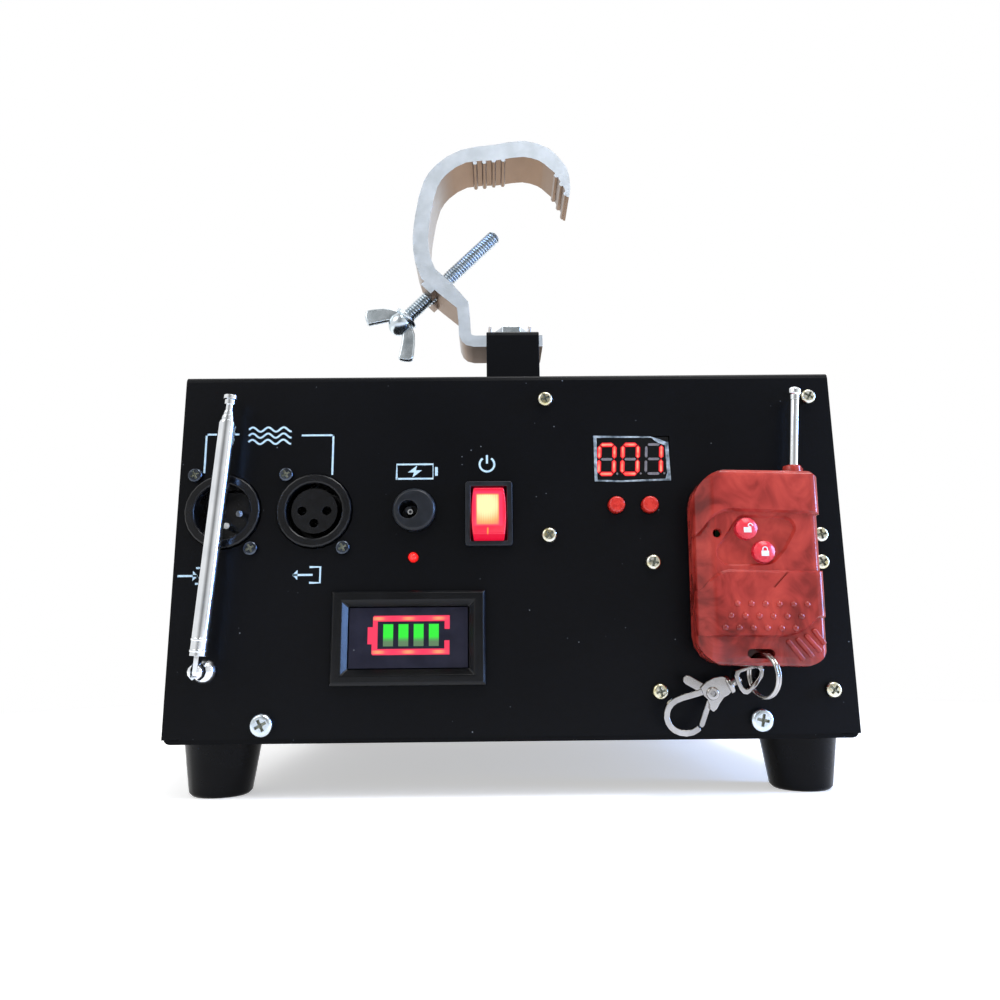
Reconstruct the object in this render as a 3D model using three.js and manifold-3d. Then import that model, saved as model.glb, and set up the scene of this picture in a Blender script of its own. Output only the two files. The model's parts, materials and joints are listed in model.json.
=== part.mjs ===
// Cold spark machine: a folded steel case on rubber feet, with its controls on the front panel,
// a pipe clamp on a strap over the top, and a remote control resting against the panel.
// Millimetres, X to the right, Y away from the control panel, Z up, origin under the middle of the part.
// Inside the machine group y is 0 on the panel's face and z is 0 under the case floor.

import * as THREE from 'three';
import { mergeVertices } from 'three/addons/utils/BufferGeometryUtils.js';
import Module from 'manifold-3d';

const wasm = await Module();
wasm.setup();

// General: gap under a seated face, gap round a piece in a hole, overrun of a cut, welding distance.
const seat = 0.1;
const fit = 0.3;
const overrun = 1;
const weld = 0.0005;
const quarterTurn = Math.PI / 2;
const fullTurn = Math.PI * 2;

// Case: a wrap (front, top, rear) over a pan (floor, sides, small flanges).
const caseWidth = 214;
const caseHeight = 118;
const caseDepth = 184;
const sheet = 1.2;
const bendRadius = 2;
const wrapSkirt = 1.5;
const panFlangeHeight = 10;
const panFlangeRelief = 5;
const ventLength = 30;
const ventWidth = 3.2;
const ventPitch = 7;
const sideVentCount = 6;
const sideVentRearInset = 56;
const sideVentY = caseDepth - sideVentRearInset;
const sideVentZ = 44;
const floorVentCount = 5;

// Rubber feet.
const footHeight = 17;
const footTopRadius = 12.1;
const footBottomRadius = 9.8;
const footEdge = 1.2;
const footRecessRadius = 4.2;
const footRecessDepth = 8;
const footSideInset = 13.3;
const footX = caseWidth / 2 - footSideInset;
const footInset = 17.5;

// Case screws: pan heads through the wrap into the pan's flanges.
const screwHeadRadius = 3.6;
const screwHeadHeight = 2.3;
const screwCrownRadius = 2;
const screwShankRadius = 2;
const screwLength = 7;
const screwSideInset = 30.5;
const screwX = caseWidth / 2 - screwSideInset;
const screwZ = 5.8;

// Board screw holes, seen on the panel at the corners of the two boards.
const boardHoleRadius = 1.6;
const standoffRadius = 2.75;

// Signal sockets: round shells mounted from behind the panel.
const socketZ = 72.2;
const socketSideInset = 14.7;
const socketPitch = 29.4;
const socketInX = socketSideInset - caseWidth / 2;
const socketOutX = socketInX + socketPitch;
const socketRadius = 12.1;
const socketProud = 1.6;
const socketLip = 0.5;
const socketBore = 9;
const socketFloorY = 13;
const socketShoulderY = 6;
const socketBodyRadius = 10;
const socketBodyY = 22;
const socketFlangeWidth = 26;
const socketFlangeHeight = 30;
const socketFlangeThickness = 2;
const contactCircle = 4;
const contactRadius = 1.1;
const contactTipY = 3.6;
const contactDiscThickness = 2;
const outletRadius = 7.45;
const outletFaceY = -0.4;
const outletHoleRadius = 1.55;
const outletHoleDepth = 9;

// Charge jack and its nut.
const jackShare = -0.14346;
const jackX = caseWidth * jackShare;
const jackZ = 72.1;
const jackFlangeRadius = 7;
const jackProud = 2.6;
const jackRim = 0.8;
const jackBarrelRadius = 5.4;
const jackLength = 12;
const jackBoreRadius = 3;
const jackBoreDepth = 9;
const jackBoreOffset = 1.8;
const jackPinRadius = 1.2;
const jackNutFlats = 14;
const jackNutThickness = 2.4;

// Charge lamp.
const lampShare = -0.14486;
const lampX = caseWidth * lampShare;
const lampZ = 57;
const lampRadius = 1.6;
const lampProud = 1.1;
const lampLength = 4;

// Rocker switch.
const rockerShare = -0.03131;
const rockerX = caseWidth * rockerShare;
const rockerZ = 70.7;
const rockerBezelWidth = 15.2;
const rockerBezelHeight = 21;
const rockerBezelProud = 2;
const rockerBezelCorner = 1;
const rockerBodyWidth = 13;
const rockerBodyHeight = 19.4;
const rockerBodyY = 14;
const rockerPocketWidth = 11.6;
const rockerWidth = 11;
const rockerHalfHeight = 7.8;
const rockerCentreDepth = 2.2;
const rockerBackDepth = 5;
const rockerPocketDepth = 9;
const rockerHalfAngle = 10;

// Battery level gauge.
const gaugeShare = -0.15;
const gaugeX = caseWidth * gaugeShare;
const gaugeZ = 31.7;
const gaugeBezelWidth = 48.6;
const gaugeBezelHeight = 29.4;
const gaugeProud = 2.6;
const gaugeChamfer = 1;
const gaugeBodyWidth = 45;
const gaugeBodyHeight = 26;
const gaugeBodyY = 18;
const gaugeWindowWidth = 37.5;
const gaugeWindowHeight = 19;
const gaugeSlope = 2;
const gaugeWindowDepth = 2;
const gaugeGlassThickness = 1.4;

// Three-digit display, its two buttons and the control board that carries them.
const displayShare = 0.18832;
const displayX = caseWidth * displayShare;
const displayZ = 88.8;
const displayWindowWidth = 25.2;
const displayWindowHeight = 15.2;
const displayFaceY = 0.2;
const buttonPitch = 10.8;
const buttonShift = 0.4;
const buttonXs = [displayX - buttonShift - buttonPitch / 2, displayX - buttonShift + buttonPitch / 2];
const buttonZ = 73.2;
const buttonRadius = 2.7;
const buttonProud = 2.6;
const buttonDome = 0.5;
const buttonStemRadius = 1.6;
const buttonStemY = 5;
const buttonTravel = 0.5;
const boardThickness = 1.6;
const boardMargin = 3.6;
const controlBoardY = 9.4;
const controlHoleShares = [[0.057, 0.9246], [0.46542, 0.9263], [0.05888, 0.539], [0.46589, 0.5339]];
const controlHoles = controlHoleShares.map(([x, z]) => [x * caseWidth, z * caseHeight]);
const receiverBoardY = 6.4;
const receiverHoleShares = [[0.21308, 0.4627], [0.46355, 0.4593], [0.21402, 0.1237], [0.46449, 0.1237]];
const receiverHoles = receiverHoleShares.map(([x, z]) => [x * caseWidth, z * caseHeight]);
const switchBodySide = 6;

// Panel antenna: dome, forked knuckle and a whip that leans a little to the right.
const antennaSideInset = 12;
const antennaX = antennaSideInset - caseWidth / 2;
const antennaZ = 22;
const antennaLean = 3.6;
const antennaAxisY = -6.9;
const domeRadius = 3.9;
const domeHeight = 3.8;
const studRadius = 2;
const studLength = 8;
const knuckleRadius = 2.8;
const knuckleNeckRadius = 1.6;
const forkGap = 2;
const tongueThickness = 1.4;
const tongueWidth = 3.2;
const pivotRadius = 0.7;
const collarBase = 4.7;
const whipRadii = [2.75, 2.1, 1.65, 1.22];
const whipBores = [2.27, 1.78, 1.34];
const whipTops = [78.5, 80.3, 81.9, 84];
const whipBaseStep = 3;
const whipBoreBase = 11;
const whipShoulder = 0.9;
const capTopRadius = 2.3;
const capLowerRadius = 1.8;
const capThickness = 1.5;
const capNeck = 0.25;

// Hanging bracket: a hat-shaped strap bolted to the top of the case.
const bracketX = 3;
const bracketWidth = 21;
const bracketThickness = 2;
const bracketFrontY = 44.2;
const bracketSpan = 53.6;
const bracketHeight = 35.2;
const bracketFlange = 18;
const bracketHoleRadius = 2.2;
const bracketHoleSpacing = 11;

// Clamp: an extruded hook on the strap, swivelling on one bolt.
const hookDepth = 19;
const hookWidth = 69;
const hookHeight = 97.2;
const hookReach = 42.3;
const hookWall = 6.6;
const barShare = 0.76;
const hookCurveShares = [
  [0.99, 0.713, 0.16], [1, 0.75, 0.36], [0.998, 0.8, 0.66], [0.984, 0.855, 0.86], [0.946, 0.9, 1],
  [0.87, 0.96, 1.12], [0.716, 1, 1.2], [0.52, 0.981, 1.18], [0.301, 0.955, 1], [0.146, 0.882, 1],
  [0.065, 0.796, 1], [0.017, 0.642, 1], [0, 0.511, 1], [0.017, 0.4, 1.05], [0.058, 0.32, 1.1],
];
const hookFootShares = [
  [0.17, 0.247, 1.1], [0.278, 0.182, 0.78], [0.287, 0.125, 0.76], [0.291, 0.055, 0.76],
  [0.309, 0.025, 0.76], [0.336, 0.008, 0.76], [0.38, 0, 0.76], [0.802, 0, 0.76],
];
const gripRadius = 1;
const gripShares = [[0.574, 0.903], [0.513, 0.9], [0.452, 0.893], [0.393, 0.889]];
const toothRadius = 1.15;
const toothShares = [[0.914, 0.824], [0.946, 0.779], [0.972, 0.731]];
const padHalfWidth = 3;
const padProud = 2.2;
const padDepth = 3.2;
const boltRadius = 3.95;
const boltHeadFlats = 13;
const boltHeadHeight = 5.3;
const boltTail = 8.5;
const nutHeight = 6.5;

// Wing screw: its axis climbs to the right, towards the middle of the pipe.
const wingAngle = 45;
const wingFlangeX = -42.1;
const wingFlangeZ = 171;
const wingShankRadius = 3.17;
const wingShankLength = 54.6;
const wingTipChamfer = 1;
const wingFlangeRadius = 6;
const wingFlangeThickness = 2.6;
const wingHubRadius = 4.7;
const wingHubLength = 6.6;
const wingThickness = 2.8;
const wingSpan = 15.2;
const wingDrop = 15.4;
const wingOutlineShares = [
  [0.3, 0.12], [0.68, 0.33], [0.97, 0.66], [1, 0.78], [0.95, 0.9], [0.84, 0.97], [0.72, 0.94],
  [0.42, 0.74], [0.2, 0.64],
];

// Remote control.
const remoteShare = 0.35234;
const remoteX = caseWidth * remoteShare;
const remoteZ = 51.8;
const remoteTilt = 1.3;
const remoteWidth = 37.8;
const remoteHeight = 59.2;
const remoteCorners = [4, 10.5, 8.5, 7.5];
const remoteThickness = 13;
const remoteBackGap = 0.3;
const remoteBackShare = 0.48;
const remoteBevel = 1.8;
const remoteWall = 2.2;
const remotePartGap = 0.3;
const remoteFloorThickness = 1.6;
const remotePocketBase = 12;
const remoteButtonRadius = 3.3;
const remoteButtonProud = 1.1;
const remoteButtonFlange = 0.7;
const remoteButtonTravel = 0.8;
const remoteButtonDepth = 3.6;
const remoteButtons = [['remote_button_upper', -3.7, 11.4], ['remote_button_lower', 1.3, 4.3]];
const remoteBoardThickness = 1.2;
const remoteBoardWidth = 24;
const remoteBoardHeight = 38;
const remotePocketCorner = 5;
const slotX = -1.2;
const slotZ = 3.5;
const slotWidth = 8.2;
const slotHeight = 2.8;
const slotLip = 2.2;
const slotChannel = 6.4;
const slotChannelMargin = 2;
const remoteAntennaX = 14.1;
const remoteAntennaLean = 4.3;
const remoteCollarRadius = 3.2;
const remoteCollarHeight = 2.9;
const remoteTubeRadius = 1.45;
const remoteTubeBore = 1.05;
const remoteTubeInside = 24;
const remoteTubeOutside = 25;
const remoteTubeStroke = 22;
const remoteRodRadius = 0.85;
const remoteKnobRadius = 2.1;
const remoteKnobHeight = 4.2;

// Key ring and clasp.
const ringShift = 1.25;
const ringX = remoteX - ringShift;
const ringY = -12.2;
const ringZ = 19.4;
const ringInner = 5.8;
const ringOuter = 6.9;
const ringThickness = 1.4;
const ringYaw = 68;
const linkAngle = 104;
const claspAngle = 154.6;
const linkTilt = 36;
const linkInner = 3;
const linkOuter = 4.2;
const linkThickness = 1.2;
const postRadius = 0.9;
const postHeadRadius = 1.7;
const postHeadThickness = 0.8;
const claspThickness = 3.4;
const claspPlateX = 5.6;
const claspPlateThickness = 1.3;
const claspPlateHeight = 8.2;
const claspWindow = 2;
const claspEyeX = 22.1;
const claspEyeInner = 5.3;
const claspEyeOuter = 6.6;
const claspGapFrom = 105;
const claspGapTo = 172;
const claspTailShares = [[0, -0.45], [0.9, -0.78], [1.04, -0.66], [1, 0], [0.9, 0.4], [0.75, 0.55], [0, 0.45]];
const claspTailLength = 9;
const claspPivotX = 12.3;
const claspPivotZ = -1.6;
const claspPivotRadius = 0.8;
const claspSlot = 1.5;
const leverThickness = 1.1;
const leverWidth = 2.8;
const leverEyeRadius = 1.9;
const leverTipX = 17;
const leverTipZ = -8.4;
const gateTipX = 19.4;
const gateTipZ = 4.9;
const gateWidth = 1.6;

// Battery and its strap, on the case floor.
const batteryWidth = 96;
const batteryDepth = 66;
const batteryHeight = 38;
const batteryGap = 11;
const batteryCorner = 6;
const strapWidth = 16;
const strapThickness = 1;
const strapFoot = 10;

// Spark chamber, heater, nozzle and blower, on one upright axis.
const chamberShare = -0.21028;
const chamberX = caseWidth * chamberShare;
const chamberRearInset = 44;
const chamberY = caseDepth - chamberRearInset;
const chamberBore = 13.4;
const chamberRadius = 18;
const chamberFlangeRadius = 23;
const chamberFlangeThickness = 2;
const chamberBase = 46;
const heaterThickness = 3.6;
const heaterBase = 74;
const heaterTopGap = 10.7;
const nozzleFlangeRadius = 24;
const nozzleFlangeThickness = 3;
const nozzleCrownRadius = 17;
const nozzleHeight = 10;
const nozzleSpigotRadius = 14.6;
const nozzleEdge = 1.5;
const blowerSide = 40;
const blowerHeight = 13;
const blowerBore = 18.4;
const blowerHubRadius = 7;
const blowerPlate = 1.5;
const blowerSpoke = 3;
const bladeCount = 7;
const bladeThickness = 1.2;
const bladePitch = 38;

// Hopper, feed auger and feed motor.
const hopperShare = 0.23364;
const hopperX = caseWidth * hopperShare;
const hopperSide = 56;
const hopperWall = 1.6;
const hopperShoulderZ = 86;
const hopperThroatZ = 69;
const hopperThroatWidth = 26;
const hopperThroatDepth = 12;
const hopperMouthWidth = 46;
const hopperMouthDepth = 42;
const feedZ = 61;
const feedBore = 7;
const feedWall = 1.5;
const feedEntry = 4.5;
const augerRadius = 6.6;
const augerShaftRadius = 2.2;
const augerTurns = 6;
const augerStepsPerTurn = 10;
const flightThickness = 1.4;
const motorRadius = 12;
const motorLength = 26;
const motorSideGap = 7;
const feedEndX = caseWidth / 2 - motorSideGap - motorLength;
const lidThickness = 2.4;
const lidMargin = 4;
const lidPlugDepth = 2.6;
const lidPlugGap = 0.9;
const lidRim = 0.6;
const hingeRadius = 2.2;
const hingePinRadius = 0.9;
const hingeKnuckle = 18;
const hingeLeafLength = 46;
const hingeLeafDepth = 9;
const hingeLeafThickness = 1.2;

// Places worked out from the sizes above.
const radians = THREE.MathUtils.degToRad;
const caseTop = caseHeight;
const innerTop = caseHeight - sheet;
const frontProud = -ringY + ringOuter * Math.sin(radians(ringYaw)) + ringThickness / 2 * Math.cos(radians(ringYaw));
const rearProud = screwHeadHeight;
const panelY = (frontProud - caseDepth - rearProud) / 2;
const bracketTop = caseTop + bracketHeight;
const bracketMiddleY = bracketFrontY + bracketSpan / 2;
const barThickness = hookWall * barShare;
const hookBase = bracketTop + seat;
const barTop = hookBase + barThickness;
const hookLeft = bracketX - hookReach;
const flangeY = sheet + fit;
const chamberTop = innerTop - seat;
const hopperTop = innerTop - seat;
const heaterHeight = chamberTop - chamberFlangeThickness - heaterTopGap - heaterBase;
const batteryY = chamberY - blowerSide / 2 - batteryGap - batteryDepth / 2;
const hopperY = chamberY;
const feedOuter = feedBore + feedWall;
const rockerEndDepth = rockerCentreDepth + rockerHalfHeight * Math.tan(radians(rockerHalfAngle));
const rockerRadius = Math.hypot(rockerHalfHeight, rockerEndDepth);

// Outlines are lists of points in a plane.
const point = (x, y) => new THREE.Vector2(x, y);

function arc(x, y, radius, from, to, steps) {
  return Array.from({ length: steps + 1 }, (_, i) => {
    const angle = from + (to - from) * i / steps;
    return point(x + radius * Math.cos(angle), y + radius * Math.sin(angle));
  });
}

function circle(radius, x, y, sides) {
  return arc(x, y, radius, 0, fullTurn, sides).slice(0, sides);
}

function rectangle(width, height, x, y) {
  const [w, h] = [width / 2, height / 2];
  return [point(x - w, y - h), point(x + w, y - h), point(x + w, y + h), point(x - w, y + h)];
}

function roundedRectangle(width, height, radius, x, y, steps) {
  const [w, h] = [width / 2 - radius, height / 2 - radius];
  return [
    ...arc(x + w, y + h, radius, 0, quarterTurn, steps),
    ...arc(x - w, y + h, radius, quarterTurn, 2 * quarterTurn, steps),
    ...arc(x - w, y - h, radius, 2 * quarterTurn, 3 * quarterTurn, steps),
    ...arc(x + w, y - h, radius, 3 * quarterTurn, fullTurn, steps),
  ];
}

function slotOutline(width, height, x, y, steps) {
  const radius = Math.min(width, height) / 2;
  return roundedRectangle(width, height, radius * 0.98, x, y, steps);
}

function hexagon(flats, x, y) {
  return circle(flats / 2 / Math.cos(Math.PI / 6), x, y, 6);
}

// Straight extrusions of an outline along one axis.
function extruded(outline, length) {
  return new THREE.ExtrudeGeometry(new THREE.Shape(outline), { depth: length, bevelEnabled: false });
}

function alongX(outline, x, length) {
  const turn = new THREE.Matrix4().set(0, 0, 1, x, 1, 0, 0, 0, 0, 1, 0, 0, 0, 0, 0, 1);
  return extruded(outline, length).applyMatrix4(turn);
}

function alongY(outline, y, length) {
  const turn = new THREE.Matrix4().set(1, 0, 0, 0, 0, 0, -1, y + length, 0, 1, 0, 0, 0, 0, 0, 1);
  return extruded(outline, length).applyMatrix4(turn);
}

function alongZ(outline, z, length) {
  return extruded(outline, length).translate(0, 0, z);
}

function block(x, y, z, width, depth, height) {
  return new THREE.BoxGeometry(width, depth, height).translate(x, y, z + height / 2);
}

// Turned pieces: the profile is a list of radius and height.
function turned(profile, sides) {
  return new THREE.LatheGeometry(profile.map(([r, h]) => point(r, h)), sides);
}

const turnedZ = (profile, sides) => turned(profile, sides).rotateX(quarterTurn);
const turnedX = (profile, sides) => turned(profile, sides).rotateZ(-quarterTurn);

// A solid through rings of as many points each, closed at both ends; a ring lies across Y.
function stackedY(rings) {
  const count = rings[0].outline.length;
  const positions = rings.flatMap(({ outline, y }) => outline.flatMap((p) => [p.x, y, p.y]));
  const index = [];
  for (let ring = 0; ring < rings.length - 1; ring += 1) {
    for (let i = 0; i < count; i += 1) {
      const next = (i + 1) % count;
      const [a, b] = [ring * count + i, ring * count + next];
      index.push(a, b, b + count, a, b + count, a + count);
    }
  }
  const last = (rings.length - 1) * count;
  for (const [a, b, c] of THREE.ShapeUtils.triangulateShape(rings[0].outline, [])) {
    index.push(a, c, b);
  }
  for (const [a, b, c] of THREE.ShapeUtils.triangulateShape(rings.at(-1).outline, [])) {
    index.push(last + a, last + b, last + c);
  }
  const geometry = new THREE.BufferGeometry();
  geometry.setAttribute('position', new THREE.Float32BufferAttribute(positions, 3));
  geometry.setIndex(index);
  return geometry;
}

// Welds a geometry, drops its collapsed triangles and turns its faces outwards.
function welded(geometry) {
  const bare = new THREE.BufferGeometry();
  bare.setAttribute('position', geometry.getAttribute('position').clone());
  bare.setIndex(geometry.getIndex() ? geometry.getIndex().clone() : null);
  const merged = mergeVertices(bare, weld);
  const position = merged.getAttribute('position');
  const corners = merged.getIndex().array;
  const kept = [];
  let volume = 0;
  const [p, q, r] = [new THREE.Vector3(), new THREE.Vector3(), new THREE.Vector3()];
  for (let i = 0; i < corners.length; i += 3) {
    const [a, b, c] = [corners[i], corners[i + 1], corners[i + 2]];
    if (a === b || b === c || c === a) continue;
    kept.push(a, b, c);
    p.fromBufferAttribute(position, a);
    q.fromBufferAttribute(position, b);
    r.fromBufferAttribute(position, c);
    volume += p.dot(q.cross(r));
  }
  if (volume < 0) kept.reverse();
  merged.setIndex(kept);
  return merged;
}

function solid(shape) {
  if (!shape.isBufferGeometry) return shape;
  const clean = welded(shape);
  const mesh = new wasm.Mesh({
    numProp: 3,
    vertProperties: new Float32Array(clean.getAttribute('position').array),
    triVerts: new Uint32Array(clean.getIndex().array),
  });
  return new wasm.Manifold(mesh);
}

const join = (first, ...others) => others.reduce((whole, other) => whole.add(solid(other)), solid(first));
const cut = (body, ...tools) => tools.reduce((whole, tool) => whole.subtract(solid(tool)), solid(body));

function geometryOf(shape) {
  if (shape.isBufferGeometry) return welded(shape);
  const mesh = shape.getMesh();
  const geometry = new THREE.BufferGeometry();
  geometry.setAttribute('position', new THREE.Float32BufferAttribute(mesh.vertProperties, 3));
  geometry.setIndex(new THREE.Uint32BufferAttribute(mesh.triVerts, 1));
  return geometry;
}

const group = new THREE.Group();
const machine = new THREE.Group();
machine.position.set(0, panelY, footHeight);
group.add(machine);

function piece(name, shape, [color, roughness, metalness], parent = machine) {
  const geometry = geometryOf(shape);
  geometry.computeVertexNormals();
  const mesh = new THREE.Mesh(geometry, new THREE.MeshStandardMaterial({ color, roughness, metalness }));
  mesh.name = name;
  parent.add(mesh);
  return mesh;
}

function holder(x, y, z, parent = machine) {
  const place = new THREE.Group();
  place.position.set(x, y, z);
  parent.add(place);
  return place;
}

// Finishes: colour, roughness, metalness.
const powderCoat = ['#1b1c20', 0.55, 0.2];
const blackPlastic = ['#121316', 0.35, 0];
const glossBlack = ['#0c0d10', 0.15, 0];
const rubber = ['#111114', 0.75, 0];
const zinc = ['#c9ced2', 0.35, 0.9];
const chrome = ['#d8dadd', 0.12, 1];
const aluminium = ['#c4cbcf', 0.4, 0.85];
const redLens = ['#e0241c', 0.2, 0];
const redPlastic = ['#b3241c', 0.35, 0];
const burlPlastic = ['#8c2a1c', 0.22, 0];
const circuitBoard = ['#1f5a38', 0.5, 0];
const steel = ['#9a9da0', 0.4, 0.9];
const batteryWrap = ['#2a57a5', 0.4, 0];
const ceramicWrap = ['#d9d2c0', 0.8, 0];
const brass = ['#b08d4a', 0.35, 0.9];

// Case wrap: one sheet folded over the front, the top and the rear.
function caseWrap() {
  const inner = bendRadius - sheet;
  const high = caseHeight - bendRadius;
  const profile = [
    point(0, wrapSkirt),
    ...arc(bendRadius, high, bendRadius, 2 * quarterTurn, quarterTurn, 3),
    ...arc(caseDepth - bendRadius, high, bendRadius, quarterTurn, 0, 3),
    point(caseDepth, wrapSkirt),
    point(caseDepth - sheet, wrapSkirt),
    ...arc(caseDepth - bendRadius, high, inner, 0, quarterTurn, 3),
    ...arc(bendRadius, high, inner, quarterTurn, 2 * quarterTurn, 3),
    point(sheet, wrapSkirt),
  ];
  const front = (outline) => alongY(outline, -overrun, sheet + 2 * overrun);
  const rear = (outline) => alongY(outline, caseDepth - sheet - overrun, sheet + 2 * overrun);
  const top = (outline) => alongZ(outline, innerTop - overrun, sheet + 2 * overrun);
  const holes = [
    front(circle(socketRadius + fit, socketInX, socketZ, 24)),
    front(circle(socketRadius + fit, socketOutX, socketZ, 24)),
    front(circle(jackBarrelRadius + fit, jackX, jackZ, 16)),
    front(circle(lampRadius + fit, lampX, lampZ, 10)),
    front(rectangle(rockerBodyWidth + fit, rockerBodyHeight + fit, rockerX, rockerZ)),
    front(rectangle(gaugeBodyWidth + fit, gaugeBodyHeight + fit, gaugeX, gaugeZ)),
    front(rectangle(displayWindowWidth, displayWindowHeight, displayX, displayZ)),
    front(circle(studRadius + fit, antennaX, antennaZ, 10)),
    ...buttonXs.map((x) => front(circle(buttonRadius + fit, x, buttonZ, 12))),
    ...[...controlHoles, ...receiverHoles].map(([x, z]) => front(circle(boardHoleRadius, x, z, 8))),
    ...[-screwX, screwX].flatMap((x) => [front, rear].map((side) => (
      side(circle(screwShankRadius + fit, x, screwZ, 10))))),
    top(circle(nozzleSpigotRadius + fit, chamberX, chamberY, 24)),
    top(rectangle(hopperMouthWidth, hopperMouthDepth, hopperX, hopperY)),
    ...bracketHoles().map(([x, y]) => top(circle(bracketHoleRadius, x, y, 8))),
  ];
  return cut(alongX(profile, -caseWidth / 2, caseWidth), ...holes);
}

function bracketHoles() {
  const half = bracketHoleSpacing / 2;
  const middle = bracketFlange / 2 + bracketThickness / 2;
  const front = bracketFrontY - middle + bracketThickness;
  const rear = bracketFrontY + bracketSpan + middle - bracketThickness;
  return [front, rear].flatMap((y) => [bracketX - half, bracketX + half].map((x) => [x, y]));
}

// Base pan: floor and side walls from one sheet, with a small flange front and rear.
function basePan() {
  const half = caseWidth / 2;
  const wallTop = innerTop - fit;
  const inner = bendRadius - sheet;
  const length = caseDepth - 2 * flangeY;
  const profile = [
    point(-half, wallTop),
    ...arc(-half + bendRadius, bendRadius, bendRadius, 2 * quarterTurn, 3 * quarterTurn, 3),
    ...arc(half - bendRadius, bendRadius, bendRadius, 3 * quarterTurn, 4 * quarterTurn, 3),
    point(half, wallTop),
    point(half - sheet, wallTop),
    ...arc(half - bendRadius, bendRadius, inner, 4 * quarterTurn, 3 * quarterTurn, 3),
    ...arc(-half + bendRadius, bendRadius, inner, 3 * quarterTurn, 2 * quarterTurn, 3),
    point(-half + sheet, wallTop),
  ];
  const flangeWidth = caseWidth - 2 * panFlangeRelief;
  const flanges = [flangeY, caseDepth - flangeY - sheet].map((y) => (
    block(0, y + sheet / 2, 0, flangeWidth, sheet, panFlangeHeight)));
  const pan = join(alongY(profile, flangeY, length), ...flanges);
  const screwHoles = [-screwX, screwX].map((x) => (
    alongY(circle(screwShankRadius + fit, x, screwZ, 10), 0, caseDepth)));
  const sideVents = Array.from({ length: sideVentCount }, (_, i) => {
    const y = sideVentY + (i - (sideVentCount - 1) / 2) * ventPitch;
    return alongX(slotOutline(ventWidth, ventLength, y, sideVentZ, 3), -half - overrun, caseWidth + 2 * overrun);
  });
  const floorVents = Array.from({ length: floorVentCount }, (_, i) => {
    const y = chamberY + (i - (floorVentCount - 1) / 2) * ventPitch;
    return alongZ(slotOutline(ventLength, ventWidth, chamberX, y, 3), -overrun, sheet + 2 * overrun);
  });
  return cut(pan, ...screwHoles, ...sideVents, ...floorVents);
}

piece('case_wrap', caseWrap(), powderCoat);
piece('base_pan', basePan(), powderCoat);

// Rubber feet: tapered, with a recess for the fixing screw.
const footProfile = [
  [0, footRecessDepth - footHeight], [footRecessRadius, footRecessDepth - footHeight],
  [footRecessRadius, -footHeight], [footBottomRadius - footEdge, -footHeight],
  [footBottomRadius, footEdge - footHeight], [footTopRadius, -seat], [0, -seat],
];
for (const [side, x] of [['left', -footX], ['right', footX]]) {
  for (const [end, y] of [['front', footInset], ['rear', caseDepth - footInset]]) {
    piece(`foot_${end}_${side}`, turnedZ(footProfile, 20), rubber, holder(x, y, 0));
  }
}

// Case screws: the head outside, the shank in through the wrap and the pan's flange.
const screwProfile = [
  [0, -screwHeadHeight], [screwCrownRadius, -screwHeadHeight], [screwHeadRadius, -screwHeadHeight / 3],
  [screwHeadRadius, -seat], [screwShankRadius, -seat], [screwShankRadius, screwLength], [0, screwLength],
];
for (const [side, x] of [['left', -screwX], ['right', screwX]]) {
  piece(`case_screw_front_${side}`, turned(screwProfile, 14), zinc, holder(x, 0, screwZ));
  piece(`case_screw_rear_${side}`, turned(screwProfile, 14).rotateX(Math.PI), zinc, holder(x, caseDepth, screwZ));
}

// Signal sockets: the shell passes through the panel from behind and its flange lies on the back.
function socketShell() {
  const profile = [
    [0, socketBodyY], [socketBodyRadius, socketBodyY], [socketBodyRadius, socketShoulderY],
    [socketRadius, socketShoulderY], [socketRadius, socketLip - socketProud],
    [socketRadius - socketLip, -socketProud], [socketBore + socketLip, -socketProud],
    [socketBore, socketLip - socketProud], [socketBore, socketFloorY], [0, socketFloorY],
  ];
  const flange = rectangle(socketFlangeWidth, socketFlangeHeight, 0, 0);
  const plate = cut(
    alongY(flange, sheet + seat, socketFlangeThickness),
    alongY(circle(socketRadius - socketLip, 0, 0, 24), 0, socketShoulderY),
  );
  return join(turned(profile, 24), plate);
}

const contactPlaces = [[-contactCircle, 0], [contactCircle, 0], [0, -contactCircle]];

function pinInsert() {
  const disc = alongY(circle(socketBore - fit, 0, 0, 20), socketFloorY - seat - contactDiscThickness, contactDiscThickness);
  const pins = contactPlaces.map(([x, z]) => (
    alongY(circle(contactRadius, x, z, 8), contactTipY, socketFloorY - contactTipY - contactDiscThickness / 2)));
  return join(disc, ...pins);
}

function outletInsert() {
  const plug = alongY(circle(outletRadius, 0, 0, 24), outletFaceY, socketFloorY - seat - outletFaceY);
  const holes = contactPlaces.map(([x, z]) => (
    alongY(circle(outletHoleRadius, x, z, 8), outletFaceY - overrun, outletHoleDepth + overrun)));
  return cut(plug, ...holes);
}

const socketIn = holder(socketInX, 0, socketZ);
const socketOut = holder(socketOutX, 0, socketZ);
piece('signal_in_housing', socketShell(), blackPlastic, socketIn);
piece('signal_in_pins', pinInsert(), zinc, socketIn);
piece('signal_out_housing', socketShell(), blackPlastic, socketOut);
piece('signal_out_insert', outletInsert(), blackPlastic, socketOut);

// Charge jack: a round flange, an off-centre bore with its pin, and a nut behind the panel.
function chargeJack() {
  const profile = [
    [0, jackLength], [jackBarrelRadius, jackLength], [jackBarrelRadius, -seat], [jackFlangeRadius, -seat],
    [jackFlangeRadius, jackRim - jackProud], [jackFlangeRadius - jackRim, -jackProud], [0, -jackProud],
  ];
  const bore = alongY(circle(jackBoreRadius, -jackBoreOffset, 0, 14), -jackProud - overrun, jackBoreDepth + overrun);
  const pin = alongY(circle(jackPinRadius, -jackBoreOffset, 0, 8), -jackProud / 2, jackBoreDepth);
  return join(cut(turned(profile, 24), bore), pin);
}

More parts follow.
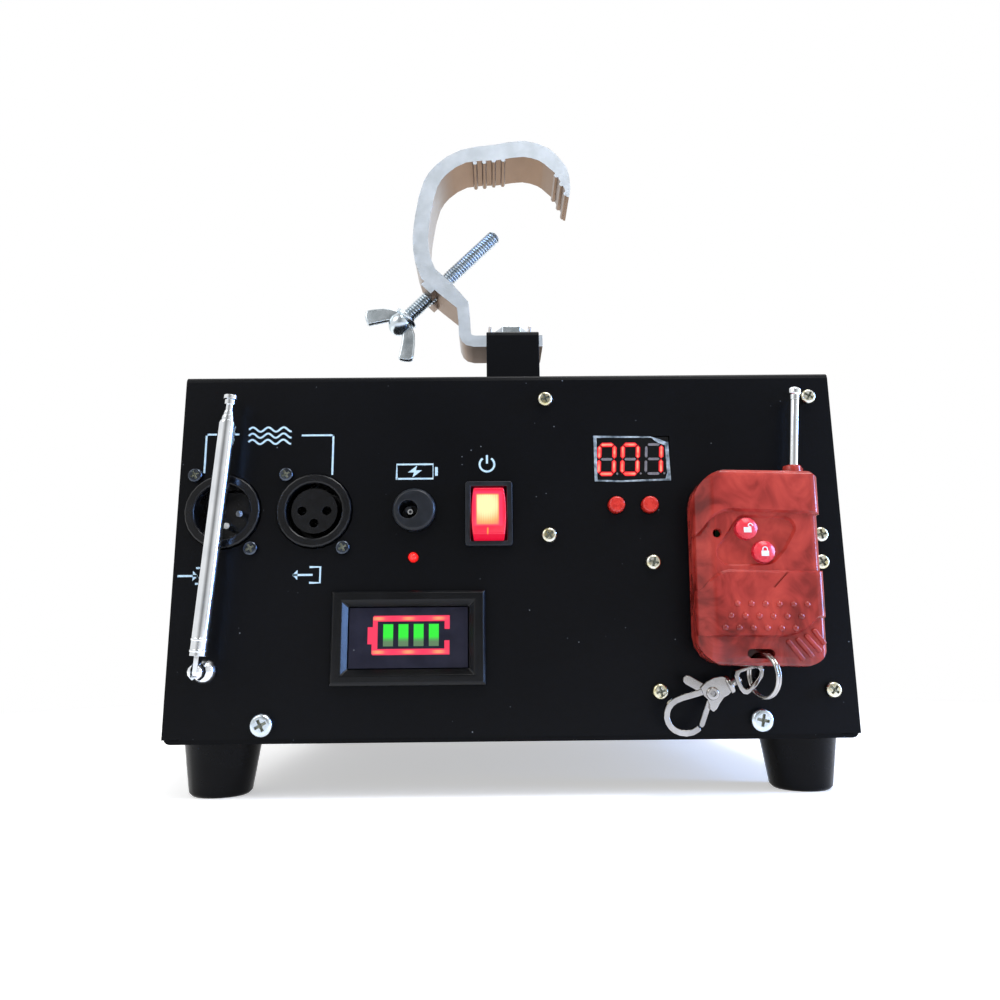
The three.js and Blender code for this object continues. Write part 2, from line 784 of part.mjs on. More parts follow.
function jackNut() {
  const nut = alongY(hexagon(jackNutFlats, 0, 0), sheet + seat, jackNutThickness);
  return cut(nut, alongY(circle(jackBarrelRadius + fit, 0, 0, 16), 0, jackLength));
}

const jack = holder(jackX, 0, jackZ);
piece('charge_jack', chargeJack(), blackPlastic, jack);
piece('charge_jack_nut', jackNut(), zinc, jack);

// Charge lamp: a small domed lens pressed through the panel.
const lampProfile = [
  [0, -lampProud], [lampRadius / 2, -lampProud * 0.85], [lampRadius, 0], [lampRadius, lampLength], [0, lampLength],
];
piece('charge_lamp', turned(lampProfile, 12), redLens, holder(lampX, 0, lampZ));

// Rocker switch: a bezel with a pocket, and a lit rocker pressed in at the top.
function rockerFrame() {
  const bezel = roundedRectangle(rockerBezelWidth, rockerBezelHeight, rockerBezelCorner, 0, 0, 3);
  const pocket = rectangle(rockerPocketWidth, 2 * (rockerRadius + fit), 0, 0);
  const frame = join(
    alongY(bezel, -rockerBezelProud, rockerBezelProud - seat),
    alongY(rectangle(rockerBodyWidth, rockerBodyHeight, 0, 0), -rockerBezelProud / 2, rockerBodyY + rockerBezelProud / 2),
  );
  return cut(frame, alongY(pocket, -rockerBezelProud - overrun, rockerPocketDepth + rockerBezelProud + overrun));
}

function rockerCap() {
  const front = Math.atan2(rockerHalfHeight, rockerEndDepth);
  const back = Math.acos(rockerBackDepth / rockerRadius);
  const upper = arc(0, 0, rockerRadius, Math.PI - front, back, 4);
  const lower = upper.map((p) => point(p.x, -p.y)).reverse();
  return alongX([point(-rockerCentreDepth, 0), ...upper, ...lower], -rockerWidth / 2, rockerWidth);
}

piece('rocker_frame', rockerFrame(), blackPlastic, holder(rockerX, 0, rockerZ));
const rockerDepth = rockerCentreDepth * Math.cos(radians(rockerHalfAngle)) - rockerBezelProud;
const rockerPivot = holder(rockerX, rockerDepth, rockerZ);
rockerPivot.rotation.x = -radians(rockerHalfAngle);
piece('rocker_cap', rockerCap(), redLens, rockerPivot);

// Level gauge: a bevelled bezel with a sloped window, and the display behind the window.
function gaugeBezel() {
  const plate = stackedY([
    { y: -seat, outline: rectangle(gaugeBezelWidth, gaugeBezelHeight, 0, 0) },
    { y: gaugeChamfer - gaugeProud, outline: rectangle(gaugeBezelWidth, gaugeBezelHeight, 0, 0) },
    { y: -gaugeProud, outline: rectangle(gaugeBezelWidth - 2 * gaugeChamfer, gaugeBezelHeight - 2 * gaugeChamfer, 0, 0) },
  ]);
  const body = alongY(rectangle(gaugeBodyWidth, gaugeBodyHeight, 0, 0), -gaugeProud / 2, gaugeBodyY + gaugeProud / 2);
  const slopeAtMouth = gaugeSlope * (1 + overrun / gaugeWindowDepth);
  const mouth = rectangle(gaugeWindowWidth + 2 * slopeAtMouth, gaugeWindowHeight + 2 * slopeAtMouth, 0, 0);
  const window = rectangle(gaugeWindowWidth, gaugeWindowHeight, 0, 0);
  const funnel = stackedY([
    { y: gaugeWindowDepth - gaugeProud, outline: window },
    { y: -gaugeProud - overrun, outline: mouth },
  ]);
  const well = alongY(window, gaugeWindowDepth - gaugeProud - seat, gaugeGlassThickness + seat);
  return cut(join(plate, body), funnel, well);
}

const gauge = holder(gaugeX, 0, gaugeZ);
piece('gauge_bezel', gaugeBezel(), blackPlastic, gauge);
const glassOutline = rectangle(gaugeWindowWidth - fit, gaugeWindowHeight - fit, 0, 0);
const glassY = gaugeWindowDepth - gaugeProud;
piece('gauge_display', alongY(glassOutline, glassY, gaugeGlassThickness - seat), glossBlack, gauge);

// Boards: each stands off the panel at its four corner screws.
function board(holes, y, ...fittings) {
  const xs = holes.map(([x]) => x);
  const zs = holes.map(([, z]) => z);
  const [left, right, low, high] = [Math.min(...xs), Math.max(...xs), Math.min(...zs), Math.max(...zs)];
  const outline = rectangle(right - left + 2 * boardMargin, high - low + 2 * boardMargin, (left + right) / 2, (low + high) / 2);
  const standoffs = holes.map(([x, z]) => (
    alongY(circle(standoffRadius, x, z, 10), sheet + seat, y - sheet - seat + boardThickness / 2)));
  const body = join(alongY(outline, y, boardThickness), ...standoffs, ...fittings);
  const bores = holes.map(([x, z]) => alongY(circle(boardHoleRadius, x, z, 8), sheet, y));
  return cut(body, ...bores);
}

const switchFrontY = buttonStemY + 2 * fit + buttonTravel;
const switchBodies = buttonXs.map((x) => (
  alongY(rectangle(switchBodySide, switchBodySide, x, buttonZ), switchFrontY, controlBoardY - switchFrontY + boardThickness / 2)));
const chip = (x, z, width, height, y, depth) => alongY(rectangle(width, height, x, z), y, depth);
const chipSide = 9;
const connectorWidth = 16;
const controlBackY = controlBoardY + boardThickness / 2;
piece('control_board', board(
  controlHoles, controlBoardY, ...switchBodies,
  chip(displayX + chipSide, displayZ, chipSide, chipSide, controlBackY, boardThickness),
  chip(displayX - 2 * chipSide, buttonZ, connectorWidth, chipSide, controlBackY, chipSide),
), circuitBoard);
piece('receiver_board', board(
  receiverHoles, receiverBoardY,
  chip(remoteX, gaugeZ, chipSide, connectorWidth, receiverBoardY + boardThickness / 2, boardThickness * 2),
), circuitBoard);

// Display module: it stands on the control board and looks out through the panel's window.
const moduleOutline = rectangle(displayWindowWidth - 2 * fit, displayWindowHeight - 2 * fit, displayX, displayZ);
piece('display_module', alongY(moduleOutline, displayFaceY, controlBoardY - displayFaceY - seat), glossBlack);

// Display buttons: red caps on stems that reach the switches behind.
const capProfile = [
  [0, -buttonProud], [buttonRadius - buttonDome, -buttonProud], [buttonRadius, buttonDome - buttonProud],
  [buttonRadius, sheet], [buttonStemRadius, sheet], [buttonStemRadius, buttonStemY], [0, buttonStemY],
];
for (const [side, x] of [['left', buttonXs[0]], ['right', buttonXs[1]]]) {
  piece(`display_button_${side}`, turned(capProfile, 16), redPlastic, holder(x, 0, buttonZ));
}

// Panel antenna.
const domeProfile = [
  [0, -domeHeight], [domeRadius * 0.5, -domeHeight * 0.92], [domeRadius * 0.85, -domeHeight * 0.66],
  [domeRadius, -domeHeight * 0.3], [domeRadius, -seat], [studRadius, -seat], [studRadius, studLength], [0, studLength],
];
piece('antenna_base', turned(domeProfile, 16), chrome, holder(antennaX, 0, antennaZ));

const antenna = holder(antennaX, 0, antennaZ);
antenna.rotation.y = radians(antennaLean);

function antennaKnuckle() {
  const neckEnd = -domeHeight - fit;
  const neckAngle = Math.acos(knuckleNeckRadius / knuckleRadius);
  const ball = arc(0, antennaAxisY, knuckleRadius, -quarterTurn, neckAngle, 6).map((p) => [Math.max(p.x, 0), p.y]);
  ball[0][0] = 0;
  const profile = [...ball, [knuckleNeckRadius, neckEnd], [0, neckEnd]];
  const forkFrom = antennaAxisY - knuckleRadius - overrun;
  const forkTo = antennaAxisY + tongueWidth / 2 + fit;
  const fork = block(0, (forkFrom + forkTo) / 2, -knuckleRadius - overrun, forkGap, forkTo - forkFrom,
    2 * (knuckleRadius + overrun));
  const pin = alongX(circle(pivotRadius, antennaAxisY, 0, 8), -knuckleRadius * 0.8, knuckleRadius * 1.6);
  return join(cut(turned(profile, 12), fork), pin);
}

piece('antenna_knuckle', antennaKnuckle(), chrome, antenna);

// The whip: each section is a tube that slides in the one before it.
const whipBases = whipTops.map((_, i) => (i === 0 ? collarBase : whipBoreBase + i * whipBaseStep));

function whipTube(i) {
  const [radius, bore, base, top] = [whipRadii[i], whipBores[i], whipBases[i], whipTops[i]];
  const wall = [[radius, base], [radius, top - whipShoulder], [(radius + bore) / 2, top], [bore, top]];
  const foot = i === 0 ? [[bore, whipBoreBase], [0, whipBoreBase], [0, base]] : [[bore, base]];
  return [...wall, ...foot, wall[0]];
}

function antennaTube() {
  const tube = turnedZ(whipTube(0), 12).translate(0, antennaAxisY, 0);
  const eye = alongX(circle(tongueWidth / 2, antennaAxisY, 0, 10), -tongueThickness / 2, tongueThickness);
  const tongue = block(0, antennaAxisY, 0, tongueThickness, tongueWidth, collarBase + overrun);
  const bore = alongX(circle(pivotRadius + fit, antennaAxisY, 0, 8), -tongueThickness, 2 * tongueThickness);
  return cut(join(tube, eye, tongue), bore);
}

piece('antenna_tube', antennaTube(), chrome, antenna);
for (const i of [1, 2]) {
  piece(`antenna_section_${i + 1}`, turnedZ(whipTube(i), 12).translate(0, antennaAxisY, 0), chrome, antenna);
}
const capBase = whipTops[3];
const tipProfile = [
  [0, whipBases[3]], [whipRadii[3], whipBases[3]], [whipRadii[3], capBase], [capLowerRadius, capBase],
  [capLowerRadius, capBase + capThickness], [whipRadii[3], capBase + capThickness],
  [whipRadii[3], capBase + capThickness + capNeck], [capTopRadius, capBase + capThickness + capNeck],
  [capTopRadius, capBase + 2 * capThickness], [capTopRadius / 2, capBase + 2 * capThickness + capNeck],
  [0, capBase + 2 * capThickness + capNeck],
];
piece('antenna_tip', turnedZ(tipProfile, 12).translate(0, antennaAxisY, 0), chrome, antenna);

// Hanging bracket: flange, leg, top plate, leg and flange of one strap.
function hangingBracket() {
  const base = caseTop + seat;
  const bend = bracketThickness * 1.25;
  const front = bracketFrontY;
  const rear = bracketFrontY + bracketSpan;
  const inner = bend - bracketThickness;
  const high = bracketTop - bend;
  const profile = [
    point(front - bracketFlange, base),
    point(front + bracketThickness, base),
    ...arc(front + bend, high, inner, 2 * quarterTurn, quarterTurn, 2),
    ...arc(rear - bend, high, inner, quarterTurn, 0, 2),
    point(rear - bracketThickness, base),
    point(rear + bracketFlange, base),
    point(rear + bracketFlange, base + bracketThickness),
    point(rear, base + bracketThickness),
    ...arc(rear - bend, high, bend, 0, quarterTurn, 3),
    ...arc(front + bend, high, bend, quarterTurn, 2 * quarterTurn, 3),
    point(front, base + bracketThickness),
    point(front - bracketFlange, base + bracketThickness),
  ];
  const strap = alongX(profile, bracketX - bracketWidth / 2, bracketWidth);
  const boltHole = alongZ(circle(boltRadius + fit, bracketX, bracketMiddleY, 14), bracketTop - 2 * bracketThickness, 3 * bracketThickness);
  const screwHoles = bracketHoles().map(([x, y]) => alongZ(circle(bracketHoleRadius, x, y, 8), caseTop, 3 * bracketThickness));
  return cut(strap, boltHole, ...screwHoles);
}

piece('hanging_bracket', hangingBracket(), powderCoat);

// Clamp hook: the outer edge follows the stations, and the inner edge lies a wall's thickness inside.
function hookStations() {
  const place = ([x, z, wall]) => new THREE.Vector3(hookLeft + x * hookWidth, hookBase + z * hookHeight, wall * hookWall);
  const curve = new THREE.CatmullRomCurve3(hookCurveShares.map(place));
  return [...curve.getPoints(2 * (hookCurveShares.length - 1)), ...hookFootShares.map(place)];
}

function insideOf(stations) {
  return stations.map((station, i) => {
    const before = stations[Math.max(i - 1, 0)];
    const after = stations[Math.min(i + 1, stations.length - 1)];
    const [ax, az] = unit(station.x - before.x, station.y - before.y);
    const [bx, bz] = unit(after.x - station.x, after.y - station.y);
    const [nx, nz] = unit(-(az + bz), ax + bx);
    const across = i === 0 || i === stations.length - 1 ? 1 : -nx * az + nz * ax;
    return point(station.x + nx * station.z / across, station.y + nz * station.z / across);
  });
}

function unit(x, z) {
  const length = Math.hypot(x, z);
  return length > 0 ? [x / length, z / length] : [0, 0];
}

// The wing screw's own frame: its Z runs from the flange into the hook.
const screwFrame = new THREE.Matrix4().makeRotationY(radians(wingAngle))
  .setPosition(wingFlangeX, bracketMiddleY, wingFlangeZ);
const hookPlace = (share) => [hookLeft + share[0] * hookWidth, hookBase + share[1] * hookHeight];
const hookNearY = bracketMiddleY - hookDepth / 2;

function wallDistance(stations) {
  const direction = [Math.sin(radians(wingAngle)), Math.cos(radians(wingAngle))];
  const across = (p) => (p.x - wingFlangeX) * direction[1] - (p.y - wingFlangeZ) * direction[0];
  for (let i = 1; i < stations.length; i += 1) {
    const [a, b] = [across(stations[i - 1]), across(stations[i])];
    if (a * b > 0 || stations[i].y > hookBase + hookHeight / 2) continue;
    const share = a / (a - b);
    const x = stations[i - 1].x + (stations[i].x - stations[i - 1].x) * share;
    const z = stations[i - 1].y + (stations[i].y - stations[i - 1].y) * share;
    return (x - wingFlangeX) * direction[0] + (z - wingFlangeZ) * direction[1];
  }
  return 0;
}

function clampHook() {
  const stations = hookStations();
  const outline = [...stations.map((s) => point(s.x, s.y)), ...insideOf(stations).reverse()];
  const grips = gripShares.map((share) => alongY(circle(gripRadius, ...hookPlace(share), 6), hookNearY, hookDepth));
  const teeth = toothShares.map((share) => alongY(circle(toothRadius, ...hookPlace(share), 6), hookNearY, hookDepth));
  const pad = block(0, 0, wallDistance(stations) - padProud, 2 * padHalfWidth, hookDepth, padDepth).applyMatrix4(screwFrame);
  const screwHole = alongZ(circle(wingShankRadius + fit, 0, 0, 14), 0, wingShankLength).applyMatrix4(screwFrame);
  const boltHole = alongZ(circle(boltRadius + fit, bracketX, bracketMiddleY, 14), hookBase - overrun, barThickness + 2 * overrun);
  return cut(join(alongY(outline, hookNearY, hookDepth), ...grips, ...teeth, pad), screwHole, boltHole);
}

function clampBolt() {
  const head = alongZ(hexagon(boltHeadFlats, bracketX, bracketMiddleY), barTop + seat, boltHeadHeight);
  const tailZ = bracketTop - bracketThickness - boltTail;
  const shank = alongZ(circle(boltRadius, bracketX, bracketMiddleY, 12), tailZ, barTop + boltHeadHeight / 2 - tailZ);
  return join(head, shank);
}

function clampNut() {
  const nutZ = bracketTop - bracketThickness - seat - nutHeight;
  const nut = alongZ(hexagon(boltHeadFlats, bracketX, bracketMiddleY), nutZ, nutHeight);
  return cut(nut, alongZ(circle(boltRadius + fit, bracketX, bracketMiddleY, 14), nutZ - overrun, nutHeight + 2 * overrun));
}

function wingScrew() {
  const profile = [
    [0, -wingFlangeThickness - wingHubLength], [wingHubRadius, -wingFlangeThickness - wingHubLength],
    [wingHubRadius, -wingFlangeThickness], [wingFlangeRadius, -wingFlangeThickness / 2], [wingFlangeRadius, 0],
    [wingShankRadius, 0], [wingShankRadius, wingShankLength - wingTipChamfer],
    [wingShankRadius - wingTipChamfer, wingShankLength], [0, wingShankLength],
  ];
  const half = wingOutlineShares.map(([across, out]) => point(across * wingSpan, -out * wingDrop));
  const wings = [...half, ...half.map((p) => point(-p.x, p.y)).reverse()];
  return join(turnedZ(profile, 14), alongY(wings, -wingThickness / 2, wingThickness));
}

piece('clamp_hook', clampHook(), aluminium);
piece('clamp_bolt', clampBolt(), zinc);
piece('clamp_nut', clampNut(), zinc);
const wingPlace = holder(wingFlangeX, bracketMiddleY, wingFlangeZ);
wingPlace.rotation.y = radians(wingAngle);
piece('wing_screw', wingScrew(), zinc, wingPlace);

// Remote control: two shells that meet halfway, with the buttons and the board between them.
const remote = holder(remoteX, -remoteBackGap, remoteZ);
remote.rotation.y = radians(remoteTilt);
const remoteSplitY = -remoteThickness * remoteBackShare;
const remoteFrontY = -remoteThickness;
const pocketHeight = remoteHeight - remoteWall - remotePocketBase;
const pocketOutline = roundedRectangle(
  remoteWidth - 2 * remoteWall, pocketHeight, remotePocketCorner, 0, (remotePocketBase - remoteWall) / 2, 3);
const slotCentreZ = slotZ - remoteHeight / 2;

// The remote's outline: each corner has its own radius, from the antenna's corner round by the top.
function remoteOutline(inset) {
  const places = [[1, 1], [-1, 1], [-1, -1], [1, -1]];
  return remoteCorners.flatMap((corner, i) => {
    const [x, z] = places[i];
    const radius = corner - inset;
    const centreX = x * (remoteWidth / 2 - corner);
    const centreZ = z * (remoteHeight / 2 - corner);
    return arc(centreX, centreZ, radius, i * quarterTurn, (i + 1) * quarterTurn, 4);
  });
}

// The collar round the antenna's foot: each shell carries the half on its own side of the split.
function remoteCollar(side) {
  const lean = new THREE.Matrix4().makeRotationY(radians(remoteAntennaLean));
  const collar = alongZ(circle(remoteCollarRadius, 0, 0, 16), -remoteCollarHeight, 2 * remoteCollarHeight)
    .applyMatrix4(lean).translate(remoteAntennaX, remoteSplitY, remoteHeight / 2);
  const reach = 2 * remoteCollarRadius;
  const other = block(remoteAntennaX, remoteSplitY - side * (reach - remotePartGap) / 2,
    remoteHeight / 2 - reach, 2 * reach, reach, 2 * reach);
  return cut(collar, other);
}

function slotCuts() {
  const low = -remoteHeight / 2 - overrun;
  const channelY = remoteFrontY + slotLip;
  return [
    alongY(slotOutline(slotWidth, slotHeight, slotX, slotCentreZ, 3), remoteFrontY - overrun, overrun + slotLip + slotChannel),
    block(slotX, channelY + slotChannel / 2, low, slotWidth + 2 * slotChannelMargin, slotChannel,
      slotCentreZ + slotHeight / 2 - low),
  ];
}

function remoteAntennaHole(radius) {
  const lean = new THREE.Matrix4().makeRotationY(radians(remoteAntennaLean));
  const depth = remoteTubeInside + remoteTubeStroke + overrun;
  return alongZ(circle(radius, 0, 0, 12), -depth, depth + 2 * remoteCollarHeight)
    .applyMatrix4(lean).translate(remoteAntennaX, remoteSplitY, remoteHeight / 2);
}

function remoteFront() {
  const shell = stackedY([
    { y: remoteSplitY - remotePartGap / 2, outline: remoteOutline(0) },
    { y: remoteFrontY + remoteBevel, outline: remoteOutline(0) },
    { y: remoteFrontY, outline: remoteOutline(remoteBevel) },
  ]);
  const pocketDepth = remoteSplitY - remoteFrontY - remoteFloorThickness;
  const pocket = alongY(pocketOutline, remoteFrontY + remoteFloorThickness, pocketDepth + overrun);
  const buttonHoles = remoteButtons.map(([, x, z]) => (
    alongY(circle(remoteButtonRadius + fit, x, z, 16), remoteFrontY - overrun, remoteThickness / 2)));
  const body = join(shell, remoteCollar(-1));
  return cut(body, pocket, ...buttonHoles, ...slotCuts(), remoteAntennaHole(remoteTubeRadius + fit));
}

function remoteBack() {
  const shell = stackedY([
    { y: 0, outline: remoteOutline(remoteBevel) },
    { y: -remoteBevel, outline: remoteOutline(0) },
    { y: remoteSplitY + remotePartGap / 2, outline: remoteOutline(0) },
  ]);
  const pocket = alongY(pocketOutline, remoteSplitY - overrun, -remoteSplitY - remoteFloorThickness + overrun);
  return cut(join(shell, remoteCollar(1)), pocket, ...slotCuts(), remoteAntennaHole(remoteTubeRadius + fit));
}

piece('remote_front_shell', remoteFront(), burlPlastic, remote);
piece('remote_back_shell', remoteBack(), burlPlastic, remote);

// Remote buttons: domed caps with a flange that keeps them behind the shell.
const remoteButtonBack = remoteFrontY + remoteButtonDepth;
const remoteCapProfile = [
  [0, remoteFrontY - remoteButtonProud], [remoteButtonRadius * 0.6, remoteFrontY - remoteButtonProud * 0.8],
  [remoteButtonRadius, remoteFrontY], [remoteButtonRadius, remoteFrontY + remoteFloorThickness + seat],
  [remoteButtonRadius + remoteButtonFlange, remoteFrontY + remoteFloorThickness + seat],
  [remoteButtonRadius + remoteButtonFlange, remoteButtonBack], [0, remoteButtonBack],
];
for (const [name, x, z] of remoteButtons) {
  piece(name, turned(remoteCapProfile, 16), redPlastic, holder(x, 0, z, remote));
}

// Remote board: it lies on the back shell's posts under the buttons.
const remoteBoardY = remoteButtonBack + remoteButtonTravel + fit;
const remoteBoardZ = (remotePocketBase - remoteWall) / 2;
const remotePosts = [-1, 1].flatMap((x) => [-1, 1].map((z) => alongY(
  circle(remoteWall / 2, x * remoteBoardWidth * 0.3, remoteBoardZ + z * remoteBoardHeight * 0.42, 6),
  remoteBoardY, -remoteFloorThickness - seat - remoteBoardY)));
const remoteBoardPlate = cut(
  alongY(rectangle(remoteBoardWidth, remoteBoardHeight, 0, remoteBoardZ), remoteBoardY, remoteBoardThickness),
  remoteAntennaHole(remoteTubeRadius + 2 * fit),
);
piece('remote_board', join(remoteBoardPlate, ...remotePosts), circuitBoard, remote);

// Remote antenna: a short tube that slides in the shells, and a thin rod with a knob in it.
const remoteAntenna = holder(remoteAntennaX, remoteSplitY, remoteHeight / 2, remote);
remoteAntenna.rotation.y = radians(remoteAntennaLean);
const remoteTubeProfile = [
  [remoteTubeBore, -remoteTubeInside + fit], [remoteTubeRadius, -remoteTubeInside + fit],
  [remoteTubeRadius, remoteTubeOutside], [remoteTubeBore, remoteTubeOutside],
  [remoteTubeBore, -remoteTubeInside + fit],
];
piece('remote_antenna_tube', turnedZ(remoteTubeProfile, 12), chrome, remoteAntenna);
const knobBase = remoteTubeOutside + seat;
const remoteRodProfile = [
  [0, -remoteTubeInside + remoteWall], [remoteRodRadius, -remoteTubeInside + remoteWall], [remoteRodRadius, knobBase],
  [remoteKnobRadius * 0.75, knobBase], [remoteKnobRadius * 0.75, knobBase + remoteKnobHeight * 0.42],
  [remoteKnobRadius, knobBase + remoteKnobHeight * 0.5], [remoteKnobRadius, knobBase + remoteKnobHeight * 0.85],
  [remoteKnobRadius * 0.7, knobBase + remoteKnobHeight], [0, knobBase + remoteKnobHeight],
];
piece('remote_antenna_rod', turnedZ(remoteRodProfile, 12), chrome, remoteAntenna);

// Key ring: through the remote's slot, turned partly towards the viewer.
const keyRing = holder(ringX, ringY, ringZ);
keyRing.rotation.z = -radians(ringYaw);
const ringHalf = ringThickness / 2;
const ringProfile = [
  [ringInner, -ringHalf], [ringOuter, -ringHalf], [ringOuter, ringHalf], [ringInner, ringHalf], [ringInner, -ringHalf],
];
piece('key_ring', turned(ringProfile, 20), chrome, keyRing);

// Clasp: its X runs from the link on the ring to the snap's eye.
const ringMiddle = (ringInner + ringOuter) / 2;
const linkOut = ringMiddle * Math.sin(radians(linkAngle));
const clasp = holder(
  ringX - linkOut * Math.cos(radians(ringYaw)), ringY + linkOut * Math.sin(radians(ringYaw)),
  ringZ + ringMiddle * Math.cos(radians(linkAngle)));
clasp.rotation.y = radians(claspAngle);

function claspSwivel() {
  const half = linkThickness / 2;
  const link = turned([
    [linkInner, -half], [linkOuter, -half], [linkOuter, half], [linkInner, half], [linkInner, -half],
  ], 16).rotateX(-radians(linkTilt));
  const headX = claspPlateX + claspPlateThickness + fit;
  const post = alongX(circle(postRadius, 0, 0, 8), (linkInner + linkOuter) / 2, headX + postHeadThickness / 2 - (linkInner + linkOuter) / 2);
  const head = alongX(circle(postHeadRadius, 0, 0, 10), headX, postHeadThickness);
  return join(link, post, head);
}

function claspBody() {
  const half = claspThickness / 2;
  const tailX = claspPlateX + claspPlateThickness;
  const across = (outline) => alongY(outline, -half, claspThickness);
  const plate = block(claspPlateX + claspPlateThickness / 2, 0, -claspPlateHeight / 2, claspPlateThickness, claspThickness + sheet, claspPlateHeight);
  const tail = claspTailShares.map(([x, z]) => point(tailX + x * claspTailLength - seat, z * claspEyeOuter));
  const eye = across(circle(claspEyeOuter, claspEyeX, 0, 20));
  const hollow = alongY(circle(claspEyeInner, claspEyeX, 0, 20), -claspThickness, 2 * claspThickness);
  const reach = 2 * claspEyeOuter;
  const gap = [radians(claspGapFrom), radians((claspGapFrom + claspGapTo) / 2), radians(claspGapTo)]
    .map((angle) => point(claspEyeX + reach * Math.cos(angle), reach * Math.sin(angle)));
  const mouth = alongY([point(claspEyeX, 0), ...gap], -claspThickness, 2 * claspThickness);
  const windowX = tailX + claspWindow / 2;
  const window = alongY(rectangle(claspWindow, 2 * (postHeadRadius + fit), windowX, 0), -claspThickness, 2 * claspThickness);
  const postHole = alongX(circle(postRadius + fit, 0, 0, 8), 0, tailX + fit);
  const slotEnd = leverTipX + overrun;
  const slotStart = claspPivotX - leverEyeRadius - fit;
  const slot = block((slotStart + slotEnd) / 2, 0, -reach, slotEnd - slotStart, claspSlot, 2 * reach);
  const pin = alongY(circle(claspPivotRadius, claspPivotX, claspPivotZ, 8), -half, claspThickness);
  const ring = cut(eye, mouth);
  const body = cut(join(ring, across(tail), plate), hollow, window, postHole, slot);
  return join(body, pin);
}

function strip(fromX, fromZ, toX, toZ, width) {
  const [ux, uz] = unit(toX - fromX, toZ - fromZ);
  const [nx, nz] = [-uz * width / 2, ux * width / 2];
  const angle = Math.atan2(uz, ux);
  return [
    point(fromX - nx, fromZ - nz),
    ...arc(toX, toZ, width / 2, angle - quarterTurn, angle + quarterTurn, 4),
    point(fromX + nx, fromZ + nz),
  ];
}

function claspLever() {
  const flat = (outline) => alongY(outline, -leverThickness / 2, leverThickness);
  const lever = join(
    flat(circle(leverEyeRadius, claspPivotX, claspPivotZ, 12)),
    flat(strip(claspPivotX, claspPivotZ, leverTipX, leverTipZ, leverWidth)),
    flat(strip(claspPivotX, claspPivotZ, gateTipX, gateTipZ, gateWidth)),
  );
  const bore = alongY(circle(claspPivotRadius + fit, claspPivotX, claspPivotZ, 8), -leverThickness, 2 * leverThickness);
  return cut(lever, bore);
}

piece('clasp_swivel', claspSwivel(), chrome, clasp);
piece('clasp_body', claspBody(), chrome, clasp);
piece('clasp_lever', claspLever(), chrome, clasp);

// Battery pack on the case floor, held by a strap with two feet.
const floorZ = sheet + seat;
const batteryOutline = roundedRectangle(batteryWidth, batteryHeight, batteryCorner, 0, floorZ + batteryHeight / 2, 2);
piece('battery_pack', alongY(batteryOutline, batteryY - batteryDepth / 2, batteryDepth), batteryWrap);

function batteryStrap() {
  const half = batteryWidth / 2 + fit;
  const top = floorZ + batteryHeight + seat;
  const outer = half + strapThickness;
  const outline = [
    point(-outer - strapFoot, floorZ), point(-half, floorZ), point(-half, top), point(half, top),
    point(half, floorZ), point(outer + strapFoot, floorZ), point(outer + strapFoot, floorZ + strapThickness),
    point(outer, floorZ + strapThickness), point(outer, top + strapThickness),
    point(-outer, top + strapThickness), point(-outer, floorZ + strapThickness),
    point(-outer - strapFoot, floorZ + strapThickness),
  ];
  return alongY(outline, batteryY - strapWidth / 2, strapWidth);
}

piece('battery_strap', batteryStrap(), steel);

// Spark chamber: an upright tube under the top of the case, with a port for the feed tube.
const portX = chamberRadius - feedEntry;

function sparkChamber() {
  const profile = [
    [chamberBore, chamberBase], [chamberFlangeRadius, chamberBase],
    [chamberFlangeRadius, chamberBase + chamberFlangeThickness], [chamberRadius, chamberBase + chamberFlangeThickness],
    [chamberRadius, chamberTop - chamberFlangeThickness], [chamberFlangeRadius, chamberTop - chamberFlangeThickness],
    [chamberFlangeRadius, chamberTop], [chamberBore, chamberTop], [chamberBore, chamberBase],
  ];
  const port = alongX(circle(feedOuter + fit, 0, feedZ, 16), 0, chamberFlangeRadius);
  return cut(turnedZ(profile, 24), port);
}

const chamber = holder(chamberX, chamberY, 0);
piece('spark_chamber', sparkChamber(), steel, chamber);
const heaterInner = chamberRadius + fit;
const heaterProfile = [
  [heaterInner, heaterBase], [heaterInner + heaterThickness, heaterBase],
  [heaterInner + heaterThickness, heaterBase + heaterHeight], [heaterInner, heaterBase + heaterHeight],
  [heaterInner, heaterBase],
];
piece('heater_band', turnedZ(heaterProfile, 24), ceramicWrap, chamber);

const nozzleTop = caseTop + nozzleHeight;
const nozzleProfile = [
  [chamberBore, innerTop], [nozzleSpigotRadius, innerTop], [nozzleSpigotRadius, caseTop + seat],
  [nozzleFlangeRadius, caseTop + seat], [nozzleFlangeRadius, caseTop + nozzleFlangeThickness],
  [nozzleCrownRadius, caseTop + nozzleFlangeThickness], [nozzleCrownRadius, nozzleTop - nozzleEdge],
  [nozzleCrownRadius - nozzleEdge, nozzleTop], [chamberBore, nozzleTop], [chamberBore, innerTop],
];
piece('nozzle_ring', turnedZ(nozzleProfile, 24), steel, chamber);

// Blower under the chamber: a square frame with a hub plate on spokes, and its rotor.
const blowerTop = chamberBase - seat;
const blowerBase = blowerTop - blowerHeight;

function blowerFrame() {
  const frame = cut(
    block(0, 0, blowerBase, blowerSide, blowerSide, blowerHeight),
    alongZ(circle(blowerBore, 0, 0, 24), blowerBase - overrun, blowerHeight + 2 * overrun),
  );
  const reach = 2 * blowerBore + overrun;
  return join(
    frame, alongZ(circle(blowerHubRadius, 0, 0, 16), blowerBase, blowerPlate),
    block(0, 0, blowerBase, reach, blowerSpoke, blowerPlate), block(0, 0, blowerBase, blowerSpoke, reach, blowerPlate),
  );
}

